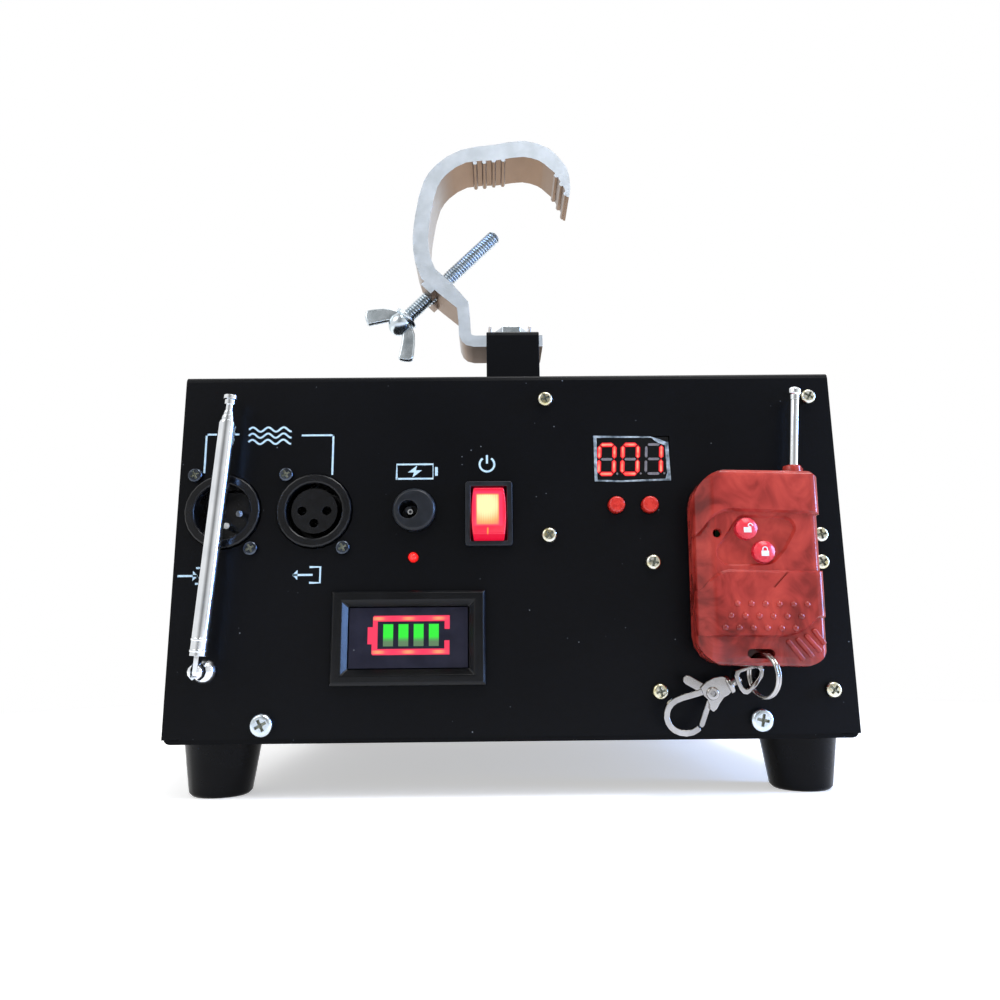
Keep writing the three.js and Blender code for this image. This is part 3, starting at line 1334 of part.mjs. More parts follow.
function blowerRotor() {
  const rotorBase = blowerBase + blowerPlate + fit;
  const height = blowerHeight - blowerPlate - 2 * fit;
  const hub = alongZ(circle(blowerHubRadius, 0, 0, 14), rotorBase, height);
  const bladeLength = blowerBore - 2 * fit - blowerHubRadius * 0.8;
  const blades = Array.from({ length: bladeCount }, (_, i) => (
    new THREE.BoxGeometry(bladeLength, bladeThickness, height * 0.9)
      .rotateX(radians(bladePitch))
      .translate(blowerHubRadius * 0.8 + bladeLength / 2, 0, rotorBase + height / 2)
      .rotateZ(fullTurn * i / bladeCount)));
  return join(hub, ...blades);
}

piece('blower_frame', blowerFrame(), blackPlastic, chamber);
piece('blower_rotor', blowerRotor(), blackPlastic, chamber);

// Hopper: a box over a funnel, with the feed tube across its foot.
function hopperFunnel(inset, low) {
  const sink = low ? overrun : 0;
  const ring = (width, depth, z) => ({ y: z, outline: rectangle(width - 2 * inset, depth - 2 * inset, 0, 0) });
  return stackedY([
    ring(hopperThroatWidth, hopperThroatDepth, hopperThroatZ - feedWall - sink),
    ring(hopperThroatWidth, hopperThroatDepth, hopperThroatZ),
    ring(hopperSide, hopperSide, hopperShoulderZ),
    ring(hopperSide, hopperSide, hopperTop),
  ]).rotateX(quarterTurn).scale(1, -1, 1).translate(hopperX, hopperY, 0);
}

function hopperBody() {
  const feedStart = chamberX + portX + fit;
  const tube = alongX(circle(feedOuter, hopperY, feedZ, 16), feedStart, feedEndX - feedStart);
  const bore = alongX(circle(feedBore, hopperY, feedZ, 16), feedStart - overrun, feedEndX - feedStart + 2 * overrun);
  const funnel = join(hopperFunnel(0, false), tube);
  return cut(funnel, hopperFunnel(hopperWall, true), bore);
}

piece('hopper', hopperBody(), steel);

// Feed auger: a shaft with one unbroken flight.
function augerFlight(length) {
  const steps = augerTurns * augerStepsPerTurn;
  const positions = [];
  const index = [];
  const root = augerShaftRadius * 0.7;
  for (let i = 0; i <= steps; i += 1) {
    const angle = fullTurn * i / augerStepsPerTurn;
    const x = (length - flightThickness) * i / steps;
    for (const [radius, shift] of [[root, 0], [augerRadius, 0], [augerRadius, flightThickness], [root, flightThickness]]) {
      positions.push(x + shift, radius * Math.cos(angle), radius * Math.sin(angle));
    }
  }
  for (let i = 0; i < steps; i += 1) {
    for (let k = 0; k < 4; k += 1) {
      const [a, b] = [4 * i + k, 4 * i + (k + 1) % 4];
      index.push(a, b, b + 4, a, b + 4, a + 4);
    }
  }
  const end = 4 * steps;
  index.push(0, 2, 1, 0, 3, 2, end, end + 1, end + 2, end, end + 2, end + 3);
  const geometry = new THREE.BufferGeometry();
  geometry.setAttribute('position', new THREE.Float32BufferAttribute(positions, 3));
  geometry.setIndex(index);
  return geometry;
}

const augerStart = portX + 2 * fit;
const augerEnd = feedEndX - chamberX;
const augerPlace = holder(chamberX, hopperY, feedZ);
const flight = augerFlight(augerEnd - augerStart - feedWall).translate(augerStart, 0, 0);
const augerShaft = alongX(circle(augerShaftRadius, 0, 0, 10), augerStart - overrun / 2, augerEnd - augerStart + overrun / 2);
piece('feed_auger', join(augerShaft, flight), steel, augerPlace);

// Feed motor on the end of the feed tube.
const motorFlange = feedOuter + feedWall;
const motorBody = join(
  alongX(circle(motorRadius, hopperY, feedZ, 20), feedEndX + fit, motorLength),
  block(feedEndX + fit + feedWall / 2, hopperY, feedZ - motorFlange - feedWall, feedWall, 2 * motorFlange, 2 * (motorFlange + feedWall)),
);
piece('feed_motor', motorBody, steel);

// Hopper lid: a plate with a shallow plug, hinged behind the mouth.
const lidDepth = hopperMouthDepth + 2 * lidMargin;
const lidWidth = hopperMouthWidth + 2 * lidMargin;
const lidZ = caseTop + seat;
const hingeY = hopperY + lidDepth / 2 + hingeRadius + fit;
const hingeZ = caseTop + hingeRadius + seat + hingeLeafThickness / 2;

function hopperLid() {
  const plate = stackedY([
    { y: 0, outline: rectangle(lidWidth, lidDepth, 0, 0) },
    { y: lidThickness - lidRim, outline: rectangle(lidWidth, lidDepth, 0, 0) },
    { y: lidThickness, outline: rectangle(lidWidth - 2 * lidRim, lidDepth - 2 * lidRim, 0, 0) },
  ]).rotateX(quarterTurn).scale(1, -1, 1).translate(hopperX, hopperY, lidZ);
  const plug = block(hopperX, hopperY, lidZ - lidPlugDepth, hopperMouthWidth - 2 * lidPlugGap,
    hopperMouthDepth - 2 * lidPlugGap, lidPlugDepth + lidThickness / 2);
  const knuckle = alongX(circle(hingeRadius, hingeY, hingeZ, 12), hopperX - hingeKnuckle / 2, hingeKnuckle);
  const web = block(hopperX, (hopperY + lidDepth / 2 + hingeY) / 2 - lidRim, lidZ + lidRim, hingeKnuckle,
    hingeY - hopperY - lidDepth / 2 + lidRim, lidThickness - 2 * lidRim);
  const bore = alongX(circle(hingePinRadius + fit, hingeY, hingeZ, 10), hopperX - hingeKnuckle, 2 * hingeKnuckle);
  return cut(join(plate, plug, knuckle, web), bore);
}

function hopperHinge() {
  const leafY = hingeY + hingeRadius * 0.5;
  const leaf = block(hopperX, leafY + hingeLeafDepth / 2, caseTop + seat, hingeLeafLength, hingeLeafDepth, hingeLeafThickness);
  const knuckleLength = (hingeLeafLength - hingeKnuckle) / 2 - fit;
  const knuckles = [-1, 1].map((side) => alongX(
    circle(hingeRadius, hingeY, hingeZ, 12),
    hopperX + side * (hingeKnuckle / 2 + fit + knuckleLength / 2) - knuckleLength / 2, knuckleLength));
  const relief = alongX(circle(hingeRadius + fit, hingeY, hingeZ, 12), hopperX - hingeKnuckle / 2 - fit, hingeKnuckle + 2 * fit);
  const pin = alongX(circle(hingePinRadius, hingeY, hingeZ, 10), hopperX - hingeLeafLength / 2 + fit, hingeLeafLength - 2 * fit);
  return join(cut(join(leaf, ...knuckles), relief), pin);
}

piece('hopper_lid', hopperLid(), powderCoat);
piece('hopper_hinge', hopperHinge(), steel);

export default group;
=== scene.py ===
# Cold spark machine on its rubber feet, seen from the control panel. Lengths here are millimetres from the
# middle of the panel's face (x to the right, y into the case) and from the case floor (z up).
import json
import math

import bpy
from mathutils import Matrix, Vector


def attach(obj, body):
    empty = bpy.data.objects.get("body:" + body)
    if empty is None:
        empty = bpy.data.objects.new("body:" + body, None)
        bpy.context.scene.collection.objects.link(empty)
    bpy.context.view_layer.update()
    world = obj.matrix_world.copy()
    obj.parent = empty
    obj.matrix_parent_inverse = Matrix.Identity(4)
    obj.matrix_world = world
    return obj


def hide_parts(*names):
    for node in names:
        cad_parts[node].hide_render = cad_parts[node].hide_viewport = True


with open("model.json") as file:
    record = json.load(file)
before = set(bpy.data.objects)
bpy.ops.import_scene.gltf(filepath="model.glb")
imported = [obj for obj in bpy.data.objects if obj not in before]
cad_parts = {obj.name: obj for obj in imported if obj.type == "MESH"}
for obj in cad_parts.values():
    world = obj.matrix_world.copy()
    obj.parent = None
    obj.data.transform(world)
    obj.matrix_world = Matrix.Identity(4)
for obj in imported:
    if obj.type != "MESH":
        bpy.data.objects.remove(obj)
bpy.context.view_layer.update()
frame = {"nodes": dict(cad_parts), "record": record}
nodes = frame["nodes"]
PANEL_Y = -83.72
FOOT_HEIGHT = 17.0


def spot(x, y, z):
    """A place on the machine, in metres of the part's own frame."""
    return Vector((x, y + PANEL_Y, z + FOOT_HEIGHT)) / 1000


# Camera: a wide lens close to the panel and low, looking up at it.
bpy.ops.object.select_all(action="DESELECT")
bpy.ops.object.camera_add(location=spot(-4.99, -245.7, 26.99))
camera = bpy.context.object
camera.rotation_euler = [math.radians(a) for a in (101.1247, 0.5637, -0.3397)]
camera.data.sensor_width = 36
camera.data.lens = 27.83
camera.data.clip_start = 0.01
bpy.context.scene.camera = camera


# Floor, backdrop and lamps: a pale sweep, soft light from above and bluish daylight from the right.
def linear(code, alpha=1.0):
    """An sRGB hex colour as the linear one that shaders take."""
    parts = [int(code[i:i + 2], 16) / 255 for i in (1, 3, 5)]
    return [c / 12.92 if c <= 0.04045 else ((c + 0.055) / 1.055) ** 2.4 for c in parts] + [alpha]


def feed(tree, node, inputs):
    """Sets a node's inputs, each to a value or to another node's output."""
    for socket, value in inputs.items():
        if isinstance(value, bpy.types.NodeSocket):
            tree.links.new(value, node.inputs[socket])
        else:
            node.inputs[socket].default_value = value


def add(tree, kind, inputs=None, **settings):
    """A node with its settings, its input values and its links."""
    made = tree.nodes.new(kind)
    for name, value in settings.items():
        setattr(made, name, value)
    feed(tree, made, inputs or {})
    return made


def combine(tree, operation, *values):
    """What a math node makes of its values."""
    return add(tree, "ShaderNodeMath", dict(enumerate(values)), operation=operation).outputs[0]


def spread(tree, value, low, high, start=0.0, end=1.0):
    """A value that runs from start to end while another one runs from low to high."""
    return add(tree, "ShaderNodeMapRange", {0: value, 1: low, 2: high, 3: start, 4: end}).outputs[0]


def position(tree):
    """The place in the part's frame, in metres."""
    return add(tree, "ShaderNodeTexCoord").outputs["Object"]


def empty_tree(owner):
    """The cleared node tree of a material or the world."""
    owner.use_nodes = True
    owner.node_tree.nodes.clear()
    return owner.node_tree


def kept_white(tree, mirrored):
    """1 for rays from the camera or through glass, and the same with rays off glossy pieces by a share."""
    ray = add(tree, "ShaderNodeLightPath").outputs
    seen = combine(tree, "MAXIMUM", ray["Is Camera Ray"], ray["Is Transmission Ray"])
    return seen, combine(tree, "MAXIMUM", seen, combine(tree, "MULTIPLY", ray["Is Glossy Ray"], mirrored))


bpy.context.scene.view_settings.view_transform = "Standard"
world = bpy.data.worlds.new("studio")
bpy.context.scene.world = world
tree = empty_tree(world)
direction = add(tree, "ShaderNodeTexCoord")
parts = add(tree, "ShaderNodeSeparateXYZ", {0: direction.outputs["Generated"]}).outputs
# The room is dim behind the camera and lighter at its sides. The backdrop is white, also for what mirrors it.
room = spread(tree, combine(tree, "ABSOLUTE", parts[0]), 0.1, 0.65, 0.3, 0.95)
shown = kept_white(tree, spread(tree, parts[1], 0.0, 0.3))[1]
strength = add(tree, "ShaderNodeMix", {0: shown, 2: room, 3: 1.0}, data_type="FLOAT")
sky = add(tree, "ShaderNodeBackground", {0: linear("#ffffff"), 1: strength.outputs[0]})
add(tree, "ShaderNodeOutputWorld", {0: sky.outputs[0]})

bpy.ops.mesh.primitive_plane_add(size=4.0, location=(0, 0, 0))
floor = bpy.context.object
floor.name = "floor"
floor_paint = bpy.data.materials.new("matte_white_floor")
tree = empty_tree(floor_paint)
place = position(tree)
reach = add(tree, "ShaderNodeVectorMath", {0: place}, operation="LENGTH")
away = spread(tree, reach.outputs["Value"], 0.2, 0.5)
# The sweep gets dim well in front of the machine, where the room is dim too.
ahead = add(tree, "ShaderNodeSeparateXYZ", {0: place})
seen, shown = kept_white(tree, spread(tree, ahead.outputs[1], -0.3, -0.13))
paint = add(tree, "ShaderNodeBsdfDiffuse", {0: linear("#ececec")})
glow = add(tree, "ShaderNodeEmission", {0: linear("#ffffff"), 1: combine(tree, "MULTIPLY", shown, 0.5)})
lit_floor = add(tree, "ShaderNodeAddShader", {0: paint.outputs[0], 1: glow.outputs[0]})
white = add(tree, "ShaderNodeEmission", {0: linear("#ffffff"), 1: 1.0})
fade = combine(tree, "MULTIPLY", away, seen)
both = add(tree, "ShaderNodeMixShader", {0: fade, 1: lit_floor.outputs[0], 2: white.outputs[0]})
add(tree, "ShaderNodeOutputMaterial", {0: both.outputs[0]})
floor.data.materials.append(floor_paint)

for name, place, size, power, tint in (
    ("window_left", (-1.1, -1.0, 1.2), (0.9, 0.9), 6, "#ffffff"),
    ("ceiling_front", (0.45, -0.8, 1.7), (1.0, 0.7), 17, "#ffffff"),
    ("window_right", (1.0, -0.22, 0.25), (0.22, 0.7), 17, "#86b4ff"),
    ("top_rear", (0.2, 1.0, 1.6), (1.2, 1.2), 8, "#ffffff"),
):
    bpy.ops.object.light_add(type="AREA", location=place)
    lamp = bpy.context.object
    lamp.name = name
    lamp.data.shape = "RECTANGLE"
    lamp.data.size, lamp.data.size_y = size
    lamp.data.energy = power
    lamp.data.color = linear(tint)[:3]
    lamp.rotation_euler = (Vector((0, 0, 0.1)) - Vector(place)).to_track_quat("-Z", "Y").to_euler()


# Case: a front, top and rear folded from one steel sheet over a floor pan, both with a satin black
# powder coat. The coat's fine orange peel blurs what it mirrors, and dust lies on it as pale specks.
def finish(name, **sockets):
    """A new material with its shader's values: its node tree, its shader and the material itself."""
    made = bpy.data.materials.new(name)
    tree = empty_tree(made)
    shader = add(tree, "ShaderNodeBsdfPrincipled", {
        socket.replace("_", " "): value for socket, value in sockets.items()})
    add(tree, "ShaderNodeOutputMaterial", {0: shader.outputs[0]})
    return tree, shader, made


def shades(tree, factor, *stops):
    """A colour ramp through hex colours at stated places."""
    ramp = add(tree, "ShaderNodeValToRGB", {0: factor})
    while len(ramp.color_ramp.elements) < len(stops):
        ramp.color_ramp.elements.new(0.5)
    for element, (place, code) in zip(ramp.color_ramp.elements, stops):
        element.position = place
        element.color = linear(code)
    return ramp.outputs[0]


def dress(material, *names):
    """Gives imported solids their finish."""
    for name in names:
        nodes[name].material_slots[0].material = material


def relieved(tree, shader, height, distance, strength):
    """Bumps a shader's surface by a pattern, over a distance in metres."""
    relief = add(tree, "ShaderNodeBump", {"Height": height, "Distance": distance, "Strength": strength})
    feed(tree, shader, {"Normal": relief.outputs[0]})


def surface(name, colours, size, roughness, metallic=0.0, grain=0.4, bump=0.1, **sockets):
    """A material with mottled colour and roughness: spots of size mm, grain of grain mm."""
    tree, shader, made = finish(name, Metallic=metallic, **sockets)
    place = position(tree)
    spots = add(tree, "ShaderNodeTexNoise", {"Vector": place, "Scale": 1000 / size, "Detail": 3.0}).outputs[0]
    feed(tree, shader, {"Base Color": shades(tree, spots, (0.35, colours[0]), (0.65, colours[1])),
                        "Roughness": spread(tree, spots, 0.3, 0.7, *roughness)})
    fine = add(tree, "ShaderNodeTexNoise", {"Vector": place, "Scale": 1000 / grain, "Detail": 1.0})
    relieved(tree, shader, fine.outputs[0], grain / 4000, bump)
    return made


def blend(tree, factor, first, second):
    """A colour between two others."""
    return add(tree, "ShaderNodeMix", {"Factor": factor, 6: first, 7: second}, data_type="RGBA").outputs[2]


def dusted(tree, colour, few):
    """A colour with dust on it: specks of about 0.3 mm, one in each 3 mm, and all but a few of them faint."""
    specks = add(tree, "ShaderNodeTexVoronoi", {"Vector": position(tree), "Scale": 330.0})
    small = spread(tree, specks.outputs["Distance"], 0.035, 0.075, 1.0, 0.0)
    chance = add(tree, "ShaderNodeSeparateColor", {0: specks.outputs["Color"]})
    rare = spread(tree, chance.outputs[0], few, 1.0, 0.0, 0.8)
    return blend(tree, combine(tree, "MULTIPLY", small, rare), colour, linear("#9aa2ab"))


tree, shader, powder_coat = finish("powder_coated_steel", Specular_IOR_Level=0.09)
place = position(tree)
cloud = add(tree, "ShaderNodeTexNoise", {"Vector": place, "Scale": 12.0, "Detail": 4.0}).outputs[0]
coat = shades(tree, cloud, (0.3, "#08090b"), (0.7, "#0c0d10"))
feed(tree, shader, {"Base Color": dusted(tree, coat, 0.78), "Roughness": spread(tree, cloud, 0.3, 0.7, 0.34, 0.42)})
peel = add(tree, "ShaderNodeTexNoise", {"Vector": place, "Scale": 1400.0, "Detail": 2.0})
relieved(tree, shader, peel.outputs[0], 0.0001, 0.25)
dress(powder_coat, "case_wrap", "base_pan", "hanging_bracket", "hopper_lid")


# Rubber feet: tapered bumpers moulded in black rubber, each with a screw up its middle. The skin of
# the mould is smooth, so they gleam more than cut rubber does.
rubber = surface(
    "moulded_rubber", ("#050506", "#08080a"), 6, (0.22, 0.3), grain=0.5, bump=0.08, Specular_IOR_Level=0.1)


# Screws: zinc plated pan heads with a cross recess. The large ones hold the wrap to the pan, the small
# ones hold the boards and the black ones the signal sockets. The plating tints from blue to straw.
def alone(*pieces):
    """Selects only these pieces, the first as the active one."""
    bpy.ops.object.select_all(action="DESELECT")
    for piece in pieces:
        piece.select_set(True)
    bpy.context.view_layer.objects.active = pieces[0]


def apply(piece, kind, **settings):
    """Adds a modifier with its settings and applies it."""
    alone(piece)
    modifier = piece.modifiers.new(kind.lower(), kind)
    for name, value in settings.items():
        setattr(modifier, name, value)
    bpy.ops.object.modifier_apply(modifier=modifier.name)


def rounded(piece, width, segments=3, angle=40):
    """Rounds the edges that turn by more than an angle, by a width in mm."""
    apply(piece, "BEVEL", width=width / 1000, segments=segments, limit_method="ANGLE", angle_limit=math.radians(angle))


def drum(radius, depth, place=(0, 0, 0), top=None, sides=32, lean=(0, 0, 0)):
    """A cylinder or cone of stated mm, made upright and then leant by degrees."""
    bpy.ops.object.select_all(action="DESELECT")
    bpy.ops.mesh.primitive_cone_add(
        vertices=sides, radius1=radius / 1000, radius2=(radius if top is None else top) / 1000,
        depth=depth / 1000, location=Vector(place) / 1000, rotation=[math.radians(a) for a in lean])
    bpy.ops.object.transform_apply(location=True, rotation=True, scale=True)
    return bpy.context.object


def slab(size, place=(0, 0, 0), lean=(0, 0, 0)):
    """A block of stated mm round its place, leant by degrees."""
    bpy.ops.object.select_all(action="DESELECT")
    bpy.ops.mesh.primitive_cube_add(
        size=1, location=Vector(place) / 1000, rotation=[math.radians(a) for a in lean], scale=Vector(size) / 1000)
    bpy.ops.object.transform_apply(location=True, rotation=True, scale=True)
    return bpy.context.object


def joined(*pieces):
    """Joins pieces into the first."""
    alone(*pieces)
    bpy.ops.object.join()
    return bpy.context.object


def carve(piece, tool, operation="DIFFERENCE"):
    """Cuts a tool out of a piece, or joins it to it, and removes the tool."""
    apply(piece, "BOOLEAN", object=tool, operation=operation, solver="EXACT")
    bpy.data.objects.remove(tool)


def copy_of(piece, matrix):
    """A copy with its own mesh, moved by a matrix."""
    made = bpy.data.objects.new(piece.name, piece.data.copy())
    bpy.context.scene.collection.objects.link(made)
    made.data.transform(matrix)
    return made


def settle(piece, name, body, slot, *finishes, angle=35):
    """Names a finished piece, smooths it, gives it its finish and lets it ride on its body."""
    alone(piece)
    bpy.ops.object.transform_apply(location=True, rotation=True, scale=True)
    bpy.ops.object.shade_smooth_by_angle(angle=math.radians(angle))
    piece.name = piece.data.name = name
    piece.data.materials.clear()
    for made in finishes:
        piece.data.materials.append(made)
    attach(piece, body)
    return piece


def second_finish(piece, test):
    """Gives a piece's second finish to the faces that a test picks by their place in mm and their normal."""
    for face in piece.data.polygons:
        x, y, z = face.center * 1000
        if test(x, y - PANEL_Y, z - FOOT_HEIGHT, face.normal):
            face.material_index = 1


def pan_head(radius, height, recess):
    """A domed pan head on its shank, with a cross recess, that faces up from z 0."""
    head = drum(radius, height, (0, 0, height / 2), top=radius * 0.96, sides=40)
    rounded(head, height * 0.72, 6)
    for turn in (0, 90):
        cross = slab((recess, recess * 0.24, height), (0, 0, height * 1.02), (0, 0, turn))
        carve(head, cross)
    pit = drum(recess * 0.1, height * 0.9, (0, 0, height * 0.78), top=recess * 0.36, sides=4)
    carve(head, pit)
    shank = drum(radius * 0.55, height * 2, (0, 0, -height * 0.95), sides=20)
    return joined(head, shank)


bright_zinc = surface("blue_zinc_plate", ("#c9d4da", "#dfe8ee"), 4, (0.2, 0.27), 1.0, 0.25, 0.05)
straw_zinc = surface("straw_zinc_plate", ("#cfc48f", "#e6e6dc"), 3, (0.2, 0.27), 1.0, 0.25, 0.05)
black_oxide = surface("black_oxide_steel", ("#3a3f47", "#555c66"), 3, (0.2, 0.28), 1.0, 0.25, 0.05)
to_front = Matrix.Rotation(math.radians(90), 4, "X")
to_rear = Matrix.Rotation(math.radians(-90), 4, "X")
# The walls of the cross recesses get a darker zinc: painted shade.
shaded = surface("recess_painted_shade", ("#85897d", "#a2a598"), 1, (0.35, 0.45), 0.9, 0.2, 0.1)


CASE_DEPTH = 184
CASE_SCREW_Z = 5.8
# Of each kind of screw, the head's radius, its height and the width of its recess.
CASE_HEAD, BOARD_HEAD, SOCKET_HEAD = (3.6, 2.3, 3.8), (2.5, 1.8, 3.0), (2.4, 1.5, 2.8)


def recessed(piece, places, head):
    """Paints shade on the walls of cross recesses, from just behind the front of their heads inwards."""
    radius, height, recess = head
    middle = CASE_DEPTH / 2
    second_finish(piece, lambda x, y, z, normal: -1.5 < abs(y - middle) - middle < height - 0.05 and any(
        math.hypot(x - px, z - pz) < recess * 0.55 for px, pz in places))


case_head = pan_head(*CASE_HEAD)
for side, x in (("left", -76.5), ("right", 76.5)):
    for end, y, turned_to in (("front", 0, to_front), ("rear", CASE_DEPTH, to_rear)):
        twist = Matrix.Rotation(math.radians({"left": 28, "right": -12}[side]), 4, "Z")
        screw = copy_of(case_head, Matrix.Translation(spot(x, y, CASE_SCREW_Z)) @ turned_to @ twist)
        settle(screw, f"pan_screw_{end}_{side}", "case", "zinc", bright_zinc, shaded)
        recessed(screw, [(x, CASE_SCREW_Z)], CASE_HEAD)
        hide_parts(f"case_screw_{end}_{side}")
board_head = pan_head(*BOARD_HEAD)
board_places = (
    (12.2, 109.1, 20), (99.6, 109.3, 60), (12.6, 63.6, 40), (99.7, 63.0, 10),
    (45.6, 54.6, 75), (99.2, 54.2, 30), (45.8, 14.6, 15), (99.4, 14.6, 50))
board_screws = joined(*[
    copy_of(board_head, Matrix.Translation(spot(x, 0, z)) @ to_front @ Matrix.Rotation(math.radians(turn), 4, "Z"))
    for x, z, turn in board_places])
settle(board_screws, "board_screws", "case", "zinc", straw_zinc, shaded)
recessed(board_screws, [(x, z) for x, z, turn in board_places], BOARD_HEAD)
socket_head = pan_head(*SOCKET_HEAD)
socket_places = [(x + dx, 72.2 + dz) for x in (-92.3, -62.9) for dx, dz in ((-9.5, 12), (9.5, -12))]
socket_screws = joined(*[
    copy_of(socket_head, Matrix.Translation(spot(x, 0, z)) @ to_front @ Matrix.Rotation(0.5, 4, "Z"))
    for x, z in socket_places])
settle(socket_screws, "socket_screws", "case", "zinc", black_oxide, shaded)
recessed(socket_screws, socket_places, SOCKET_HEAD)
for spare in (case_head, board_head, socket_head):
    bpy.data.objects.remove(spare)


# Printed marks: screen print in one pale ink. A bracket line joins the two signal sockets, and plain
# pictograms say signal in, signal out, charging and power.
def polygon(points):
    """A flat face through stated places in mm."""
    bpy.ops.object.select_all(action="DESELECT")
    bpy.ops.mesh.primitive_circle_add(vertices=len(points), fill_type="NGON")
    for vertex, place in zip(bpy.context.object.data.vertices, points):
        vertex.co = Vector(place) / 1000
    return bpy.context.object


def plate(outline, thickness, y=0.0, matrix=None):
    """A flat outline of (x, z) in mm, with its back at depth y and extruded towards the viewer."""
    piece = polygon([(x, y, z) for x, z in outline])
    bpy.ops.object.mode_set(mode="EDIT")
    bpy.ops.mesh.select_all(action="SELECT")
    bpy.ops.mesh.extrude_region_move(TRANSFORM_OT_translate={"value": (0, -thickness / 1000, 0)})
    bpy.ops.mesh.select_all(action="SELECT")
    bpy.ops.mesh.normals_make_consistent(inside=False)
    bpy.ops.object.mode_set(mode="OBJECT")
    piece.data.transform(matrix or Matrix.Translation(spot(0, 0, 0)))
    return piece


def stroke(start, end, width):
    """The outline of a straight printed line, square at its ends."""
    a, b = Vector(start), Vector(end)
    along = (b - a).normalized() * width / 2
    across = Vector((-along.y, along.x))
    return [a - along - across, b + along - across, b + along + across, a - along + across]


def curve(x, z, radius, start, end, steps=16):
    """Points on an arc, by degrees from +x towards +z."""
    turns = [math.radians(start + (end - start) * i / steps) for i in range(steps + 1)]
    return [(x + radius * math.cos(a), z + radius * math.sin(a)) for a in turns]


def ribbon(points, width):
    """The outline of a bent line of even width."""
    inner, outer = [], []
    for i, point in enumerate(points):
        before, after = Vector(points[max(i - 1, 0)]), Vector(points[min(i + 1, len(points) - 1)])
        along = (after - before).normalized() * width / 2
        inner.append((point[0] - along.y, point[1] + along.x))
        outer.append((point[0] + along.y, point[1] - along.x))
    return inner + outer[::-1]


ink = surface("screen_print_ink", ("#b3d3e6", "#c8e2ef"), 0.8, (0.5, 0.6), grain=0.3, bump=0.3)
marks = []
for x0, x1, top in ((-99.2, -88.8, 98.0), (-57.6, -67.7, 97.5)):
    marks += [stroke((x0, 85.3 if x0 < -60 else 84.4), (x0, top), 0.6), stroke((x0, top), (x1, top), 0.6)]
# Three waves between the lines, for the signal.
for z in (95.4, 97.5, 99.6):
    marks.append(ribbon([(-85.4 + i * 0.5, z + 0.75 * math.sin(i * 0.62)) for i in range(29)], 0.62))
# An arrow into a frame and an arrow out of one.
for x, inwards in ((-101.0, True), (-65.0, False)):
    marks.append(ribbon([(x + 1.2, 54.1), (x + 4.6, 54.1), (x + 4.6, 49.1), (x + 1.2, 49.1)], 0.65))
    tip = (x + 1.9, 51.6) if inwards else (x - 4.2, 51.6)
    tail = (x - 4.2, 51.6) if inwards else (x + 1.9, 51.6)
    back = -1.6 if inwards else 1.6
    marks.append(stroke(tail, (tip[0] + back * 0.3, 51.6), 0.65))
    marks.append([tip, (tip[0] + back, 53.2), (tip[0] + back, 50.0)][::1 if inwards else -1])
# A battery with a bolt on it for the charge jack, a circle with a bar for the rocker.
marks.append(ribbon([(-36.6, 82.6), (-24.8, 82.6), (-24.8, 87.4), (-36.6, 87.4), (-36.6, 82.3)], 0.6))
marks.append(stroke((-23.7, 84.0), (-23.7, 86.0), 0.9))
marks.append([(-30.0, 87.0), (-33.0, 84.7), (-31.0, 84.7), (-31.5, 83.0), (-28.4, 85.4), (-30.4, 85.4)])
marks.append(ribbon(curve(-7.2, 87.2, 2.4, 125, 415, 24), 0.65))
marks.append(stroke((-7.2, 87.8), (-7.2, 90.0), 0.65))
settle(joined(*[plate(outline, 0.03) for outline in marks]), "printed_marks", "case", "powder_coat", ink)


# Signal sockets: round shells of black glass-filled nylon, mounted from behind the panel. One holds
# three silver plated pins, the other a moulded insert with three sprung contacts behind its holes.
def evened(piece, angle):
    """Smooths a piece's curved faces and keeps its flat ones flat."""
    alone(piece)
    bpy.ops.object.shade_smooth_by_angle(angle=math.radians(angle))
    apply(piece, "WEIGHTED_NORMAL", keep_sharp=True, weight=80)


def merged(name):
    """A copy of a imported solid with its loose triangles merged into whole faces."""
    made = bpy.data.objects.new(name + "_finished", nodes[name].data.copy())
    bpy.context.scene.collection.objects.link(made)
    alone(made)
    bpy.ops.object.mode_set(mode="EDIT")
    bpy.ops.mesh.select_all(action="SELECT")
    bpy.ops.mesh.remove_doubles(threshold=2e-6)
    bpy.ops.mesh.dissolve_limited(angle_limit=math.radians(0.6))
    bpy.ops.object.mode_set(mode="OBJECT")
    return made


def eased(name, width, *finishes, segments=2, smooth=35, made=None):
    """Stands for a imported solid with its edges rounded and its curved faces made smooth."""
    made = made or merged(name)
    if width:
        rounded(made, width, segments, smooth)
    slots = {entry["node"]: entry["material_slot"] for entry in frame["record"]["subparts"]}
    bodies = {node: body for body, group in frame["record"]["behaviour"]["bodies"].items() for node in group}
    settle(made, made.name, bodies[name], slots[name], *finishes, angle=smooth)
    evened(made, smooth)
    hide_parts(name)
    return made


for end in ("front", "rear"):
    for side in ("left", "right"):
        eased(f"foot_{end}_{side}", 0.5, rubber, segments=3, smooth=40)
nylon = surface(
    "glass_filled_nylon", ("#07080a", "#0b0c0f"), 3, (0.2, 0.28), grain=0.3, bump=0.08, Specular_IOR_Level=0.32)
silver = surface("silver_plate", ("#cfd3d6", "#eceeef"), 1, (0.14, 0.26), 1.0, 0.2, 0.1)
for name in ("signal_in_housing", "signal_out_housing"):
    eased(name, 0.35, nylon, segments=3, smooth=40)
eased("signal_out_insert", 0.25, nylon, smooth=40)
pins = eased("signal_in_pins", 0.1, silver, nylon)
second_finish(pins, lambda x, y, z, normal: y > 9)


